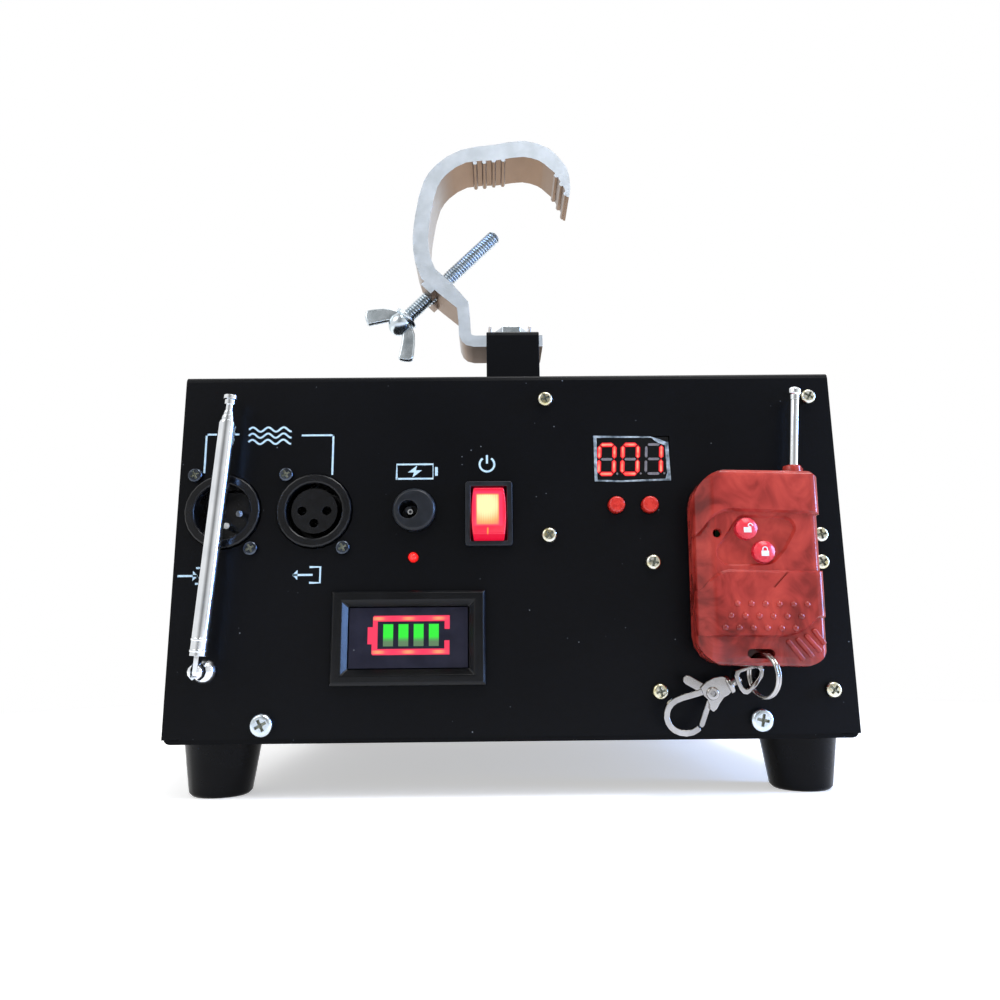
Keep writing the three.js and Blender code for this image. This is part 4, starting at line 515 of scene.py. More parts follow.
# Charge jack: a barrel socket of moulded plastic with a wide domed flange and a silver plated centre pin.
jack = surface(
    "moulded_black_plastic", ("#12151a", "#1a1e24"), 3, (0.3, 0.4), grain=0.3, bump=0.15, Specular_IOR_Level=0.35)
eased("charge_jack", 0.35, jack, segments=3)
eased("charge_jack_nut", 0.2, bright_zinc)
centre = drum(0.85, 8, (0, 0, 4), sides=24)
carve(centre, drum(0.5, 6, (0, 0, 7), sides=24))
centre.data.transform(Matrix.Translation(spot(-31.9, 6.5, 71.4)) @ to_front)
settle(centre, "jack_centre_pin", "case", "zinc", silver)

# Charge lamp: a round diode in clear red epoxy, lit.
lamp_red = surface(
    "red_epoxy_diode", ("#e01a1c", "#f0302a"), 2, (0.12, 0.2), grain=0.5, bump=0.02,
    Emission_Color=linear("#ff1f1a"), Emission_Strength=0.55)
eased("charge_lamp", 0.35, lamp_red, segments=3)


# Rocker switch: a black frame and a translucent red polycarbonate rocker over a small neon tube. The
# light shows hot through the thin upper part of the lens, in a square with fine upright ribs.
eased("rocker_frame", 0.4, jack, segments=3)
tree, shader, rocker_red = finish("lit_red_polycarbonate", Base_Color=linear("#7a0c22"), Roughness=0.25)
place = position(tree)
axes = add(tree, "ShaderNodeSeparateXYZ", {0: place}).outputs


def window(tree, value, low, high, soft):
    """1 between two places in mm and 0 outside them, with soft edges."""
    rise = spread(tree, value, (low - soft) / 1000, (low + soft) / 1000)
    fall = spread(tree, value, (high - soft) / 1000, (high + soft) / 1000, 1.0, 0.0)
    return combine(tree, "MULTIPLY", rise, fall)


def pane(tree, axes, across, upright):
    """1 inside a rectangle, each way from one place to another with its softness."""
    return combine(tree, "MULTIPLY", window(tree, axes[0], *across), window(tree, axes[2], *upright))


square = pane(tree, axes, (-10.65, -3.5, 0.3), (83.7, 93.9, 0.35))
tube_at = add(tree, "ShaderNodeVectorMath", {0: place, 1: (-0.0076, -0.0855, 0.0905)}, operation="DISTANCE")
heat = combine(tree, "MULTIPLY", square, spread(tree, tube_at.outputs["Value"], 0.0018, 0.008, 1.0, 0.34))
ribs = add(tree, "ShaderNodeTexWave", {"Vector": place, "Scale": 560.0}, bands_direction="X")
hot = combine(tree, "MULTIPLY", heat, spread(tree, ribs.outputs[1], 0.0, 1.0, 0.86, 1.0))
glow = shades(tree, hot, (0.0, "#ff3d68"), (0.28, "#ff7a66"), (0.5, "#ffb86a"), (0.8, "#fff6b4"))
# The lens is deeper red at its rim and in the strip below the square, with a small warm notch in that strip.
field = pane(tree, axes, (-11.5, -2.2, 0.5), (83.3, 94.9, 0.35))
notch = pane(tree, axes, (-7.25, -6.85, 0.15), (80.6, 82.6, 0.3))
lens_glow = blend(tree, notch, blend(tree, field, linear("#f0183c"), glow), linear("#ffb040"))
feed(tree, shader, {"Emission Color": lens_glow, "Emission Strength": spread(tree, hot, 0.0, 1.0, 0.85, 1.1)})
lens = merged("rocker_cap")
barrel = [(-11.5, 79.6), (-2.0, 79.6), (-1.4, 76.0), (-1.15, 72.5), (-1.15, 69.0), (-1.4, 65.5), (-1.9, 61.8),
          (-11.5, 61.8), (-12.0, 65.5), (-12.25, 69.0), (-12.25, 72.5), (-12.0, 76.0)]
carve(lens, plate(barrel, 14.0, 7.0), "INTERSECT")
eased("rocker_cap", 0.4, rocker_red, segments=3, made=lens)


# Battery gauge: a bezel in glossy black plastic with sloping walls round a smoked window. Behind the
# window four green bars stand in a lit red battery outline.
bezel = surface(
    "polished_black_plastic", ("#07080a", "#0b0c0e"), 8, (0.2, 0.26), grain=0.6, bump=0.04, Specular_IOR_Level=0.25)
eased("gauge_bezel", 0.3, bezel, segments=3, smooth=30)
smoked = surface("smoked_window", ("#171726", "#20202f"), 5, (0.3, 0.38), grain=0.25, Specular_IOR_Level=0.2)


def mottle(material):
    """The node tree and the shader of a mottled material, and the colour that reaches the shader."""
    tree = material.node_tree
    shader = next(node for node in tree.nodes if node.type == "BSDF_PRINCIPLED")
    return tree, shader, shader.inputs["Base Color"].links[0].from_socket


tree, shader, tint = mottle(smoked)
feed(tree, shader, {"Base Color": dusted(tree, tint, 0.4)})
eased("gauge_display", 0.15, smoked)
GLASS_Y = -0.58
outline = [
    (-19.2, 34.25), (-19.2, 38.5), (-42.8, 38.5), (-43.2, 38.1), (-43.2, 35.0), (-44.8, 35.0), (-44.8, 29.75),
    (-43.5, 29.75), (-43.5, 26.8), (-43.1, 26.4), (-19.25, 26.4), (-19.25, 30.75), (-20.85, 30.75),
    (-20.85, 28.25), (-41.7, 28.25), (-41.7, 36.7), (-20.8, 36.7), (-20.8, 34.25)]
tree, shader, lit_red = finish("lit_red_diode_film", Base_Color=linear("#4a0c1a"), Emission_Strength=0.95)
place = position(tree)
axes = add(tree, "ShaderNodeSeparateXYZ", {0: place}).outputs
# A diode stands behind the film each 9.4 mm, along the middle of its upper and its lower line.
diodes = add(tree, "ShaderNodeTexWave", {"Vector": place, "Scale": 33.4, "Phase Offset": -0.575}, bands_direction="X")
level = combine(tree, "ABSOLUTE", combine(tree, "SUBTRACT", axes[2], 0.04945))
middle = combine(tree, "COMPARE", level, 0.00515, 0.0005)
warmth = combine(tree, "MULTIPLY", diodes.outputs[1], middle)
warm = shades(tree, warmth, (0.0, "#ff2d58"), (0.55, "#ff4d62"), (0.85, "#ff8a66"), (1.0, "#ffa56c"))
feed(tree, shader, {"Emission Color": warm})
settle(plate(outline, 0.05, GLASS_Y), "gauge_outline", "case", "display_black", lit_red)
tree, shader, lit_green = finish("lit_green_diode_film", Base_Color=linear("#0c2a10"), Emission_Strength=0.95)
axes = add(tree, "ShaderNodeSeparateXYZ", {0: position(tree)}).outputs
rise = spread(tree, axes[2], 0.0474, 0.0490)
green = shades(tree, rise, (0.0, "#5c7c58"), (0.35, "#4fa050"), (1.0, "#22f52a"))
feed(tree, shader, {"Emission Color": green})
bars = [plate([(x, 29.05), (x + 3.1, 29.05), (x + 3.1, 35.85), (x, 35.85)], 0.05, GLASS_Y)
        for x in (-39.95, -35.2, -30.45, -25.7)]
settle(joined(*bars), "gauge_bars", "case", "display_black", lit_green)


# Display: three seven-segment digits behind a black face, with a clear film that is cut by hand and
# curls at its edges. The lit segments are red, the others grey.
eased("display_module", 0, bezel)
tree, shader, lit_segment = finish("lit_segment", Base_Color=linear("#a01018"), Emission_Strength=1.1)
chip = add(tree, "ShaderNodeTexNoise", {"Vector": position(tree), "Scale": 600.0, "Detail": 0.0})
feed(tree, shader, {"Emission Color": shades(tree, chip.outputs[0], (0.35, "#ff6450"), (0.65, "#ffa284"))})
# The halos are wider than the segments: a painted glow round each lit one.
halo_red = surface(
    "painted_segment_glow", ("#8e0a16", "#a80f1c"), 1, (0.4, 0.5), grain=0.3, bump=0.05,
    Emission_Color=linear("#f5141f"), Emission_Strength=0.85)
dull_segment = surface("unlit_segment", ("#6d6a70", "#7d7a80"), 1, (0.35, 0.45))
DIGIT_Y = 0.12
segments = {
    "a": ((0.75, 9.9), (4.75, 9.9)), "b": ((5.25, 9.4), (5.0, 5.45)), "c": ((4.9, 4.6), (4.65, 0.6)),
    "d": ((0.2, 0.1), (4.2, 0.1)), "e": ((-0.3, 0.6), (-0.05, 4.6)), "f": ((0.05, 5.45), (0.3, 9.4)),
    "g": ((0.55, 5.0), (4.45, 5.0)),
}


def segment(base, name, half=0.42):
    """One six-sided bar of a digit, pointed at its ends."""
    start, end = (Vector(base) + Vector(p) for p in segments[name])
    along = (end - start).normalized()
    start, end = start - along * (half - 0.42), end + along * (half - 0.42)
    across = Vector((-along.y, along.x)) * half
    short = along * half
    return [start, start + short - across, end - short - across, end, end - short + across, start + short + across]


lit, dull, halo = [], [], []
for base, shown in (((29.55, 83.6), "abcdef"), ((37.25, 83.6), "abcdef"), ((44.95, 83.6), "bc")):
    for name in segments:
        if name in shown:
            lit.append(plate(segment(base, name, 0.32), 0.1, DIGIT_Y))
            halo.append(plate(segment(base, name, 0.72), 0.05, DIGIT_Y))
        else:
            dull.append(plate(segment(base, name), 0.06, DIGIT_Y))
    point = curve(base[0] + 5.75, base[1] + 0.15, 0.35, 0, 315, 7)
    dull.append(plate(point, 0.06, DIGIT_Y))
settle(joined(*halo), "segment_halos", "case", "display_black", halo_red)
settle(joined(*lit), "lit_segments", "case", "display_black", lit_segment)
settle(joined(*dull), "unlit_segments", "case", "display_black", dull_segment)
film = surface("clear_film_edge", ("#56626b", "#b4c2cc"), 2.2, (0.1, 0.25), grain=0.8, bump=0.6)
strips = (
    [(27.9, 96.6), (28.9, 96.0), (28.75, 81.7), (27.85, 81.2)],
    [(27.9, 96.6), (46.7, 96.2), (46.9, 95.75), (28.9, 95.9)],
    [(46.7, 96.2), (49.6, 95.3), (51.6, 94.3), (51.3, 93.2), (49.4, 93.9), (48.3, 94.6), (46.9, 95.75)],
    [(51.6, 94.3), (52.45, 94.3), (52.75, 81.3), (51.0, 81.9), (51.6, 83.9), (51.3, 93.2)],
    [(27.85, 81.2), (28.75, 81.7), (36.5, 81.45), (44.0, 81.75), (51.0, 81.9), (52.75, 81.3), (44.2, 81.15),
     (36.0, 80.9)])
settle(joined(*[plate(strip, 0.2, 0.08) for strip in strips]), "display_film_edge", "case", "display_black", film)
button_red = surface("moulded_red_abs", ("#c3251f", "#d8352a"), 2, (0.22, 0.32), grain=0.3, bump=0.08)
eased("display_button_left", 0.4, button_red, segments=3)
eased("display_button_right", 0.4, button_red, segments=3)


# Boards: glass-fibre laminate under green solder mask, screwed behind the panel.
mask = surface("solder_mask_laminate", ("#0d3a22", "#155432"), 4, (0.3, 0.4), grain=0.4, bump=0.2)
dress(mask, "control_board", "receiver_board", "remote_board")


# Panel antenna: a drawn brass telescope under bright chrome. A forked knuckle lets it tilt and a stud
# through the panel lets it turn, so it leans against the panel when it is pushed together.
chrome = surface("bright_chrome_plate", ("#dde1e6", "#eceff2"), 8, (0.06, 0.1), 1.0, 0.5, 0.02)
for name, width in (("antenna_base", 0.5), ("antenna_knuckle", 0.15), ("antenna_tube", 0.12),
                    ("antenna_section_2", 0.1), ("antenna_section_3", 0.1), ("antenna_tip", 0.15)):
    eased(name, width, chrome, smooth=40)

# Two raised bands run round the foot of the outer tube.
bands = []
for reach in (6.2, 9.6):
    band = drum(2.86, 1.0, (0, 0, reach), sides=40)
    rounded(band, 0.3)
    carve(band, drum(2.4, 3, (0, 0, reach), sides=40))
    bands.append(band)
bands = joined(*bands)
bands.data.transform(Matrix.Translation(spot(-95.0, -6.9, 22.0)) @ Matrix.Rotation(math.radians(3.6), 4, "Y"))
settle(bands, "antenna_tube_bands", "antenna_whip", "chrome", chrome)


# Hanging bracket, clamp hook and bolt: the strap is bent flat bar, the hook is a slice of extruded
# aluminium with bead-blasted cut faces, and it swivels on one zinc plated bolt.
CLAMP_Y = 71.0
blasted = surface("bead_blasted_aluminium", ("#b9c0c5", "#c7cdd2"), 5, (0.52, 0.6), 1.0, grain=0.35, bump=0.3)
skin = surface("extruded_aluminium_skin", ("#aeaaa8", "#bebab8"), 6, (0.32, 0.38), 1.0, grain=0.5, bump=0.15)
# The skin is silver, with a brownish painted reflection and shade where it faces down.
tree, shader, silvery = mottle(skin)
facing = add(tree, "ShaderNodeSeparateXYZ", {0: add(tree, "ShaderNodeTexCoord").outputs["Normal"]})
below = spread(tree, facing.outputs[2], -0.15, -0.8)
feed(tree, shader, {"Base Color": blend(tree, below, silvery, linear("#88705b"))})
hook = eased("clamp_hook", 0.35, blasted, skin, segments=3)
second_finish(hook, lambda x, y, z, normal: abs(normal.y) < 0.5)
for x in (-6.1, 10.7):
    rib = slab((1.3, 19, 4.6), (x, CLAMP_Y, 160.2))
    rounded(rib, 0.5)
    rib.data.transform(Matrix.Translation(spot(0, 0, 0)))
    settle(rib, f"hook_rib_{'left' if x < 0 else 'right'}", "clamp", "cast_aluminium", skin)
eased("clamp_bolt", 0.3, bright_zinc, segments=3)
eased("clamp_nut", 0.3, bright_zinc, segments=3)
eased("hanging_bracket", 0.35, powder_coat, segments=3)


# Wing screw: forged wings on a hub, and a rolled thread through the hook's wall, all under bluish
# zinc. The thread's pitch is 1.27 mm.
def threaded(radius, start, length, pitch):
    """A closed thread along z: one tooth spun up with the screw modifier, round a solid core."""
    depth = pitch * 0.54
    core = drum(radius - depth * 0.9, length, (0, 0, start + length / 2), sides=28)
    root, flank = radius - depth, radius - depth / 2
    profile = [(root, 0), (flank, 0.22), (radius, 0.42), (radius, 0.58), (flank, 0.78), (root, 1)]
    tooth = polygon([(r, 0, share * pitch + start) for r, share in profile])
    turns = int((length - pitch) / pitch)
    apply(tooth, "SCREW", axis="Z", steps=24, render_steps=24, screw_offset=pitch / 1000, iterations=turns)
    alone(tooth)
    bpy.ops.object.mode_set(mode="EDIT")
    bpy.ops.mesh.select_all(action="SELECT")
    bpy.ops.mesh.normals_make_consistent(inside=False)
    bpy.ops.object.mode_set(mode="OBJECT")
    return joined(core, tooth)


screw = threaded(3.17, 0.2, 53.6, 1.27)
screw = joined(screw, drum(3.0, 1.0, (0, 0, 54.1), top=2.2, sides=28))
collar = drum(5.3, 1.6, (0, 0, -0.9), top=5.6, sides=44)
rounded(collar, 0.4)


def ball(radius, place, segments, rings, stretch=1.0):
    """A sphere of stated mm, drawn out upwards by a factor."""
    bpy.ops.object.select_all(action="DESELECT")
    bpy.ops.mesh.primitive_uv_sphere_add(
        segments=segments, ring_count=rings, radius=radius / 1000, location=Vector(place) / 1000, scale=(1, 1, stretch))
    bpy.ops.object.transform_apply(location=True, rotation=True, scale=True)
    return bpy.context.object


screw = joined(screw, collar, ball(4.9, (0, 0, -4.2), 36, 20, 1.15))
screw.data.transform(Matrix.Translation(spot(-42.1, CLAMP_Y, 171)) @ Matrix.Rotation(math.radians(45), 4, "Y"))
wings = []
for outline in (
    [(-46.5, 174.0), (-48.6, 174.5), (-51.1, 174.9), (-53.8, 174.9), (-56.4, 174.6), (-59.4, 174.1), (-60.4, 173.2),
     (-60.7, 171.6), (-60.3, 169.6), (-59.6, 167.8), (-58.8, 167.2), (-55.0, 168.0), (-51.0, 168.9), (-47.5, 169.2),
     (-44.5, 168.2), (-43.5, 170.5)],
    [(-44.4, 166.5), (-44.2, 163.0), (-44.5, 159.0), (-45.1, 155.8), (-45.8, 152.4), (-45.6, 151.3), (-43.3, 150.7),
     (-41.0, 150.6), (-39.7, 151.1), (-39.2, 153.2), (-38.7, 158.2), (-38.8, 163.0), (-39.6, 165.4), (-41.6, 168.0)]):
    wing = plate(outline, 2.8, CLAMP_Y + 1.4)
    rounded(wing, 0.8, 4, 60)
    wings.append(wing)
screw = joined(screw, *wings)
# A darker zinc for the thread's root: painted shade in the grooves.
thread_root_shade = surface("zinc_with_painted_root_shade", ("#8f9ca6", "#a3afb8"), 1, (0.3, 0.4), 1.0, 0.2, 0.1)
settle(screw, "wing_screw_forged", "wing", "zinc", bright_zinc, thread_root_shade, angle=40)
# The thread's root, up to half its depth, gets the darker zinc: painted shade.
second_finish(screw, lambda x, y, z, normal: x + z > 130.2 and math.hypot(
    (x - z + 213.1) * 0.7071, y - CLAMP_Y) < 2.85)
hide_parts("wing_screw")


# Remote control: two shells of polished plastic with a burl pattern in the melt, so dark smoky swirls
# run through the red. Raised covers leave a low middle part with the buttons in their own island.
tree, shader, burl = finish(
    "burl_red_plastic", Roughness=0.17, Specular_IOR_Level=0.35, Coat_Weight=0.15, Coat_Roughness=0.08)
turned = add(tree, "ShaderNodeMapping", {
    0: position(tree), "Rotation": (0.3, 0.7, 0.2), "Scale": (0.8, 1.0, 0.6)}).outputs[0]
flow = add(tree, "ShaderNodeTexNoise", {"Vector": turned, "Scale": 42.0, "Detail": 2.0, "Distortion": 1.2})
swirl = add(tree, "ShaderNodeTexNoise", {"Vector": turned, "Scale": 130.0, "Detail": 4.0, "Distortion": 2.4})
smoke = add(tree, "ShaderNodeMix", {"Factor": 0.35, 2: flow.outputs[0], 3: swirl.outputs[0]}, data_type="FLOAT")
grain = shades(tree, smoke.outputs[0], (0.3, "#42100e"), (0.42, "#7d211c"), (0.52, "#a5342d"), (0.66, "#c1453a"))
feed(tree, shader, {"Base Color": grain})
relieved(tree, shader, flow.outputs[0], 0.0002, 0.1)
remote_lean = Matrix.Rotation(math.radians(1.3), 4, "Y")
remote_place = Matrix.Translation(spot(75.4, -0.3, 51.8)) @ remote_lean
along_z = Matrix.Rotation(math.radians(-90), 4, "X")
along_x = Matrix(((0, 1, 0, 0), (0, 0, 1, 0), (1, 0, 0, 0), (0, 0, 0, 1)))


def shaped(piece, grow, front):
    """Trims a block to the remote's form: a broad slope down its left side, soft right, top and bottom edges."""
    side, end = 18.9 + grow, 29.6 + grow
    section = [
        (-side, -0.2), (-side, front + 4.3), (-side + 0.5, front + 3.3), (-side + 2.2, front + 1.7),
        (-side + 4.0, front + 0.5), (-side + 5.6, front), (side - 3.0, front), (side - 1.7, front + 0.3),
        (side - 0.6, front + 1.1), (side - 0.1, front + 2.2), (side, front + 3.2), (side, -0.2)]
    crown = [
        (-end, -0.2), (-end, front + 3.2), (-end + 0.4, front + 1.8), (-end + 1.3, front + 0.7), (-end + 3.0, front),
        (end - 2.4, front), (end - 1.1, front + 0.4), (end - 0.2, front + 1.4), (end, front + 2.4), (end, -0.2)]
    carve(piece, plate(section, 64, 32, along_z), "INTERSECT")
    carve(piece, plate(crown, 44, 22, along_x), "INTERSECT")


def corner(x, z, radius, start):
    """Points on a quarter of a circle."""
    return curve(x, z, radius, start, start + 90, 10)


def sloped(outline, thickness, y, shift):
    """A plate whose front is drawn in by a shift, or out where its outline runs clockwise."""
    drawn = {}
    for i, point in enumerate(outline):
        along = (Vector(outline[(i + 1) % len(outline)]) - Vector(outline[i - 1])).normalized() * shift
        drawn[Vector((point[0], point[1], 0)).freeze()] = (point[0] - along.y, point[1] + along.x)
    piece = plate(outline, thickness, y, Matrix())
    for vertex in piece.data.vertices:
        if vertex.co.y < (y - thickness / 2) / 1000:
            here = Vector((vertex.co.x, vertex.co.z, 0)) * 1000
            x, z = drawn[min(drawn, key=lambda place: (place - here).length)]
            vertex.co.x, vertex.co.z = x / 1000, z / 1000
    return piece


# The front shell is taken back to its own axes, gets a filler behind the slope, then its recesses.
shell_copy = merged("remote_front_shell")
shell_copy.data.transform(remote_place.inverted())
filler = plate([(-17.8, -7.6), (-16.4, -7.6), (-11.6, -11.0), (-11.6, -12.2), (-17.8, -12.2)], 46, 26, along_z)
carve(shell_copy, filler, "UNION")
LOW_Y = -12.7
shaped(shell_copy, 0.0, LOW_Y)
island = [
    (-4.6, 15.0), (8.2, 14.7), (9.3, 14.3), (10.2, 13.5), (10.7, 12.5), (10.8, 11.6), (10.5, 10.7), (7.6, 5.6),
    (4.6, 2.2), (3.9, 1.6), (2.8, 1.1), (1.4, 0.85), (-9.0, 0.5), (-10.4, 0.8), (-11.6, 1.7), (-12.4, 3.0),
    (-12.5, 4.4), (-11.9, 5.7), (-6.6, 13.6), (-5.7, 14.6)]
carve(shell_copy, sloped(island, 3.0, -11.6, 1.9))
carve(shell_copy, drum(2.1, 1.4, (-12.7, -12.9, 9.8), top=1.2, sides=28, lean=(-90, 0, 0)))
carve(shell_copy, drum(1.2, 6, (-12.7, -12.0, 9.8), sides=28, lean=(90, 0, 0)))
carve(shell_copy, slab((1.6, 2.0, 16.8), (-19.0, -7.6, 0.8)))
for x, low, high in ((18.95, -0.9, 16.4), (-18.95, -7.8, 9.3)):
    carve(shell_copy, slab((0.7, 8.0, high - low), (x, -10.8, (low + high) / 2)))
shell_copy.data.transform(remote_place)
eased("remote_front_shell", 0.3, burl, segments=3, made=shell_copy)

half_width, half_height = 19.2, 29.8
upper_outline = (
    [(half_width, 16.1)] + corner(half_width - 4.2, half_height - 4.2, 4.2, 0)
    + corner(-half_width + 10.7, half_height - 10.7, 10.7, 90)
    + [(-half_width, 9.3), (-18.6, 9.4), (-17.3, 11.0), (-15.9, 12.9), (-14.2, 14.4), (-12.4, 15.6), (-10.4, 16.35),
       (-8.2, 16.6), (-5.5, 16.5), (5.0, 16.3)])
lower_outline = (
    [(half_width, -1.3), (8.0, -1.25), (-0.3, -1.3), (-9.4, -1.15), (-11.2, -1.5), (-12.9, -2.2), (-14.4, -3.3),
     (-15.7, -4.7), (-17.0, -6.3), (-18.2, -7.5), (-half_width, -7.7), (-half_width, -21.0), (-10.0, -21.5),
     (4.6, -21.45), (7.5, -21.1), (10.4, -20.2), (13.0, -18.7), (15.0, -17.0), (16.6, -15.6), (half_width, -15.0)])
end_outline = (
    [(half_width, -14.0), (16.6, -14.6), (15.0, -16.0), (13.0, -17.7), (10.4, -19.2), (7.5, -20.1), (4.6, -20.45),
     (-10.0, -20.5), (-half_width, -20.0)]
    + corner(-half_width + 8.6, -half_height + 8.6, 8.6, 180) + corner(half_width - 7.6, -half_height + 7.6, 7.6, 270))
COVER_Y = -14.0
for name, outline, front in (
        ("upper", upper_outline, COVER_Y), ("lower", lower_outline, COVER_Y), ("end", end_outline, COVER_Y + 1)):
    cover = plate(outline, 6.8, -6.0, Matrix())
    carve(cover, sloped(outline, 1.7, LOW_Y - 0.05, 1.1), "UNION")
    shaped(cover, 0.28, front)
    hollow = slab((44, 16, 64), (0, -7.8, 0))
    shaped(hollow, -0.03, LOW_Y + 0.03)
    carve(cover, hollow)
    if name == "lower":
        carve(cover, slab((0.5, 1.2, 6.6), (5.6, -14.0, -4.1), (0, 43, 0)))
    if name == "end":
        slot = curve(1.5, -26.1, 1.4, -90, 90, 8) + curve(-3.9, -26.1, 1.4, 90, 270, 8)
        carve(cover, plate(slot, 8, -8, Matrix()))
    rounded(cover, 0.2)
    cover.data.transform(remote_place)
    settle(cover, f"remote_{name}_cover", "remote", "burl_plastic", burl)
    evened(cover, 35)
bumps = [ball(1.05, (x + 4.17 * i, COVER_Y + 0.3, z), 20, 10)
         for x, z in ((-7.9, -11.5), (-9.9, -15.1), (-11.8, -18.6)) for i in range(6)]
for start, end in (((6.6, -22.0), (11.3, -28.0)), ((9.4, -21.4), (14.0, -27.0)), ((12.0, -20.3), (16.4, -25.4)),
                   ((14.4, -18.7), (17.8, -23.2))):
    along = Vector((end[0] - start[0], 0, end[1] - start[1]))
    middle = ((start[0] + end[0]) / 2, LOW_Y, (start[1] + end[1]) / 2)
    ridge = slab((1.5, 2.6, along.length), middle, (0, math.degrees(math.atan2(along.x, along.z)), 0))
    rounded(ridge, 0.7, 4, 50)
    bumps.append(ridge)
details = joined(*bumps)
details.data.transform(remote_place)
settle(details, "remote_grip_marks", "remote", "burl_plastic", burl)
eased("remote_back_shell", 0.5, burl, segments=3)
socket_ring = drum(3.0, 3.2, (0, 0, 0), top=2.8, sides=40)
rounded(socket_ring, 0.5)
carve(socket_ring, drum(1.62, 6, (0, 0, 0), sides=32))
socket_ring.data.transform(Matrix.Translation(spot(89.95, -6.55, 82.6)) @ remote_lean)
settle(socket_ring, "remote_antenna_socket", "remote", "burl_plastic", burl)
pad_red = surface("moulded_red_pad", ("#e02438", "#ee3a4a"), 2, (0.25, 0.32), grain=0.3, bump=0.05)
for name in ("remote_button_upper", "remote_button_lower"):
    eased(name, 0.3, pad_red, segments=3)
white_ink = surface("white_pad_print", ("#dfe3ea", "#f0f2f5"), 1, (0.35, 0.45), grain=0.3, bump=0.1)
for name, x, z, shackle in (("upper", -3.7, 11.4, 0.9), ("lower", 1.3, 4.3, 0.0)):
    body = [(x - 1.25, z - 1.45), (x + 1.05, z - 1.45), (x + 1.05, z + 0.15), (x - 1.25, z + 0.15)]
    loop = ribbon([(x - 0.8 + shackle * 2, z + 0.1)] + curve(x - 0.1 + shackle, z + 0.6, 0.7, 180, 0, 10)
                  + ([(x + 0.6, z + 0.1)] if not shackle else []), 0.32)
    lock = joined(*[plate(outline, 0.12, COVER_Y, Matrix()) for outline in (body, loop)])
    lock.data.transform(remote_place)
    settle(lock, f"padlock_{name}", f"remote_{name}", "red_plastic", white_ink)
for name, width in (("remote_antenna_tube", 0.1), ("remote_antenna_rod", 0.15)):
    eased(name, width, chrome, smooth=40)


# Key ring and clasp: a split ring wound from two turns of spring wire, and a die-cast snap with a
# riveted thumb lever on a strap that swivels, all nickel plated and bright.
nickel = surface("bright_nickel_plate", ("#a3a09d", "#bab7b3"), 6, (0.1, 0.15), 1.0, 0.4, 0.04)
turns = []
for shift in (-0.46, 0.46):
    bpy.ops.object.select_all(action="DESELECT")
    bpy.ops.mesh.primitive_torus_add(
        major_segments=72, minor_segments=14, major_radius=0.00637, minor_radius=0.00048, location=(0, 0, shift / 1000),
        rotation=(math.radians(1.5 * shift), 0, 0))
    bpy.ops.object.transform_apply(location=True, rotation=True, scale=True)
    turns.append(bpy.context.object)
coil = joined(*turns)
coil_turn = Matrix.Rotation(math.radians(-68), 4, "Z")
coil.data.transform(Matrix.Translation(spot(74.15, -12.2, 19.4)) @ coil_turn @ to_front)
settle(coil, "split_ring", "ring", "chrome", nickel, angle=60)
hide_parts("key_ring")

hook_line = [
    (62.2, 16.6), (60.0, 15.7), (57.8, 14.9), (55.4, 14.15), (53.0, 13.5), (50.8, 12.95), (48.9, 12.2), (47.5, 11.2),
    (46.6, 10.0), (46.1, 8.7), (46.0, 7.2), (46.4, 5.7), (47.2, 4.5), (48.3, 3.6), (49.8, 2.95), (51.6, 2.7),
    (53.4, 3.0), (54.9, 3.8), (55.5, 4.3)]
hook_bow = plate(ribbon(hook_line, 1.75), 2.2, -5.4)
snap = plate([
    (56.6, 15.9), (58.2, 17.6), (60.5, 18.8), (63.0, 19.2), (64.9, 18.5), (65.9, 16.6), (65.9, 14.9), (64.6, 13.7),
    (63.2, 13.0), (61.8, 11.2), (60.9, 9.7), (59.9, 8.9), (58.9, 9.6), (58.9, 11.2), (58.3, 12.6), (57.2, 13.6)],
    3.4, -4.8)
carve(snap, hook_bow, "UNION")
rivet = drum(2.1, 0.9, (0, 0, 0.2), top=1.7, sides=36)
rounded(rivet, 0.3)
carve(rivet, drum(0.95, 2, (0, 0, 0.9), sides=28))
rivet.data.transform(Matrix.Translation(spot(59.9, -8.3, 14.2)) @ to_front)
collar = drum(2.9, 1.5, (0, 0, 0), sides=36)
rounded(collar, 0.4)
lean = Matrix.Rotation(math.radians(64.6), 4, "Y")
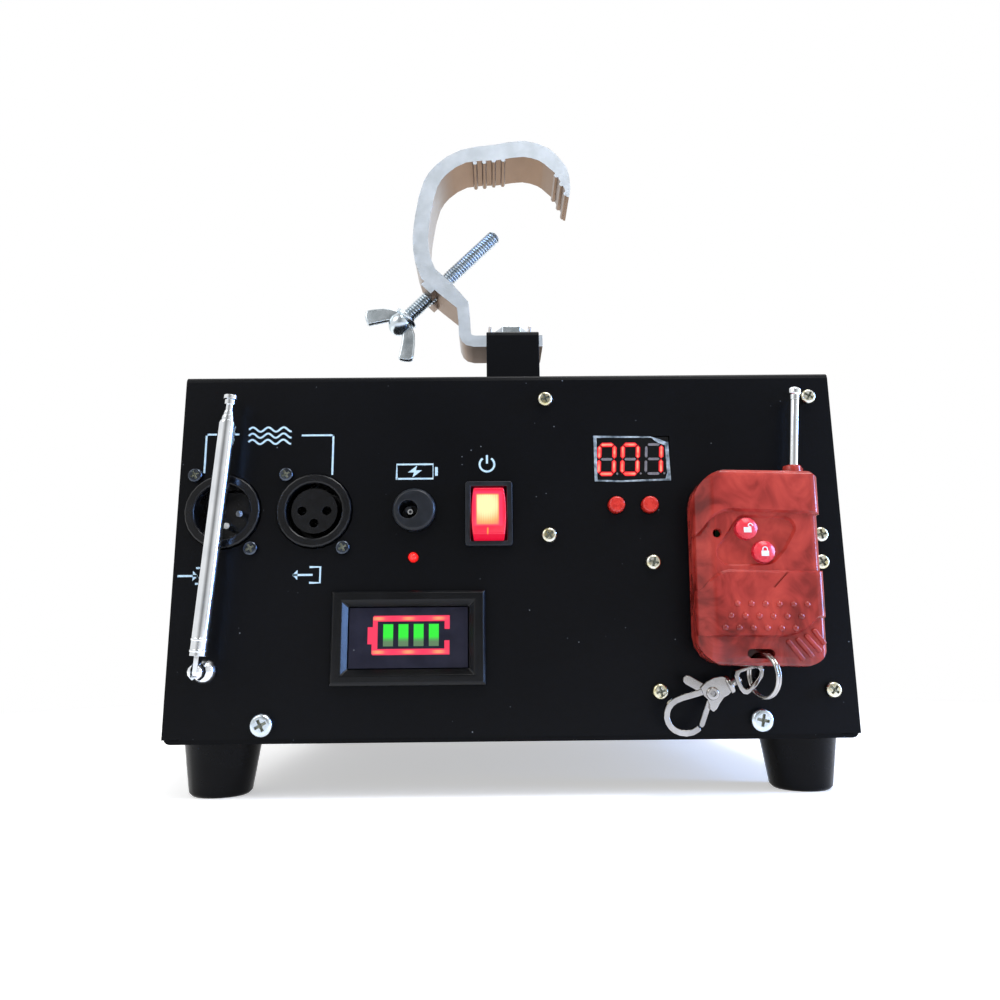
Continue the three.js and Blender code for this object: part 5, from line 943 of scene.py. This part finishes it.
collar.data.transform(Matrix.Translation(spot(65.3, -6.5, 16.6)) @ lean)
rounded(snap, 0.8, 4, 35)
snap = joined(snap, rivet, collar)
settle(snap, "snap_body", "clasp_snap", "chrome", nickel)
evened(snap, 40)
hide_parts("clasp_body")
strap = plate([
    (67.2, 20.9), (69.4, 21.6), (73.0, 22.6), (75.2, 22.4), (75.7, 21.0), (75.3, 19.0), (73.4, 16.4), (71.4, 14.5),
    (70.2, 13.8), (69.0, 14.0), (68.1, 15.1), (67.1, 17.2), (66.7, 19.2)], 4.2, -4.4)
carve(strap, plate([
    (68.6, 20.2), (71.0, 20.9), (73.4, 21.5), (74.2, 21.2), (74.4, 20.6), (74.0, 19.2), (72.4, 17.2), (70.7, 15.6),
    (69.9, 15.4), (69.2, 15.9), (68.4, 17.7), (68.1, 19.3)], 8, -2))
post = drum(1.25, 4.4, (0, 0, 0), sides=28)
post.data.transform(Matrix.Translation(spot(66.9, -6.5, 17.4)) @ lean)
rounded(strap, 0.3)
strap = joined(strap, post)
settle(strap, "snap_swivel_strap", "clasp_link", "chrome", nickel)
evened(strap, 40)
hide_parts("clasp_swivel")
eased("clasp_lever", 0.2, nickel, segments=3)


# Top of the case: a turned nozzle ring over the spark chamber and a hopper lid on its steel hinge.
steel = surface("brushed_steel_sheet", ("#85888a", "#a9acad"), 3, (0.3, 0.45), 1.0, 0.3, 0.3)
for name, width in (("nozzle_ring", 0.3), ("hopper_hinge", 0.2), ("feed_motor", 0.4), ("spark_chamber", 0.3)):
    eased(name, width, steel)
eased("hopper_lid", 0.4, powder_coat, segments=3)
dress(steel, "battery_strap", "hopper", "feed_auger")

# Inside: a battery in blue shrink film, a ceramic band heater and a moulded blower.
dress(surface("shrink_film", ("#173a7c", "#1f4a96"), 9, (0.25, 0.35), grain=1.2, bump=0.3), "battery_pack")
dress(surface("ceramic_fibre", ("#c8c0ae", "#ddd6c6"), 2, (0.7, 0.85), grain=0.5, bump=0.6), "heater_band")
dress(jack, "blower_frame", "blower_rotor")
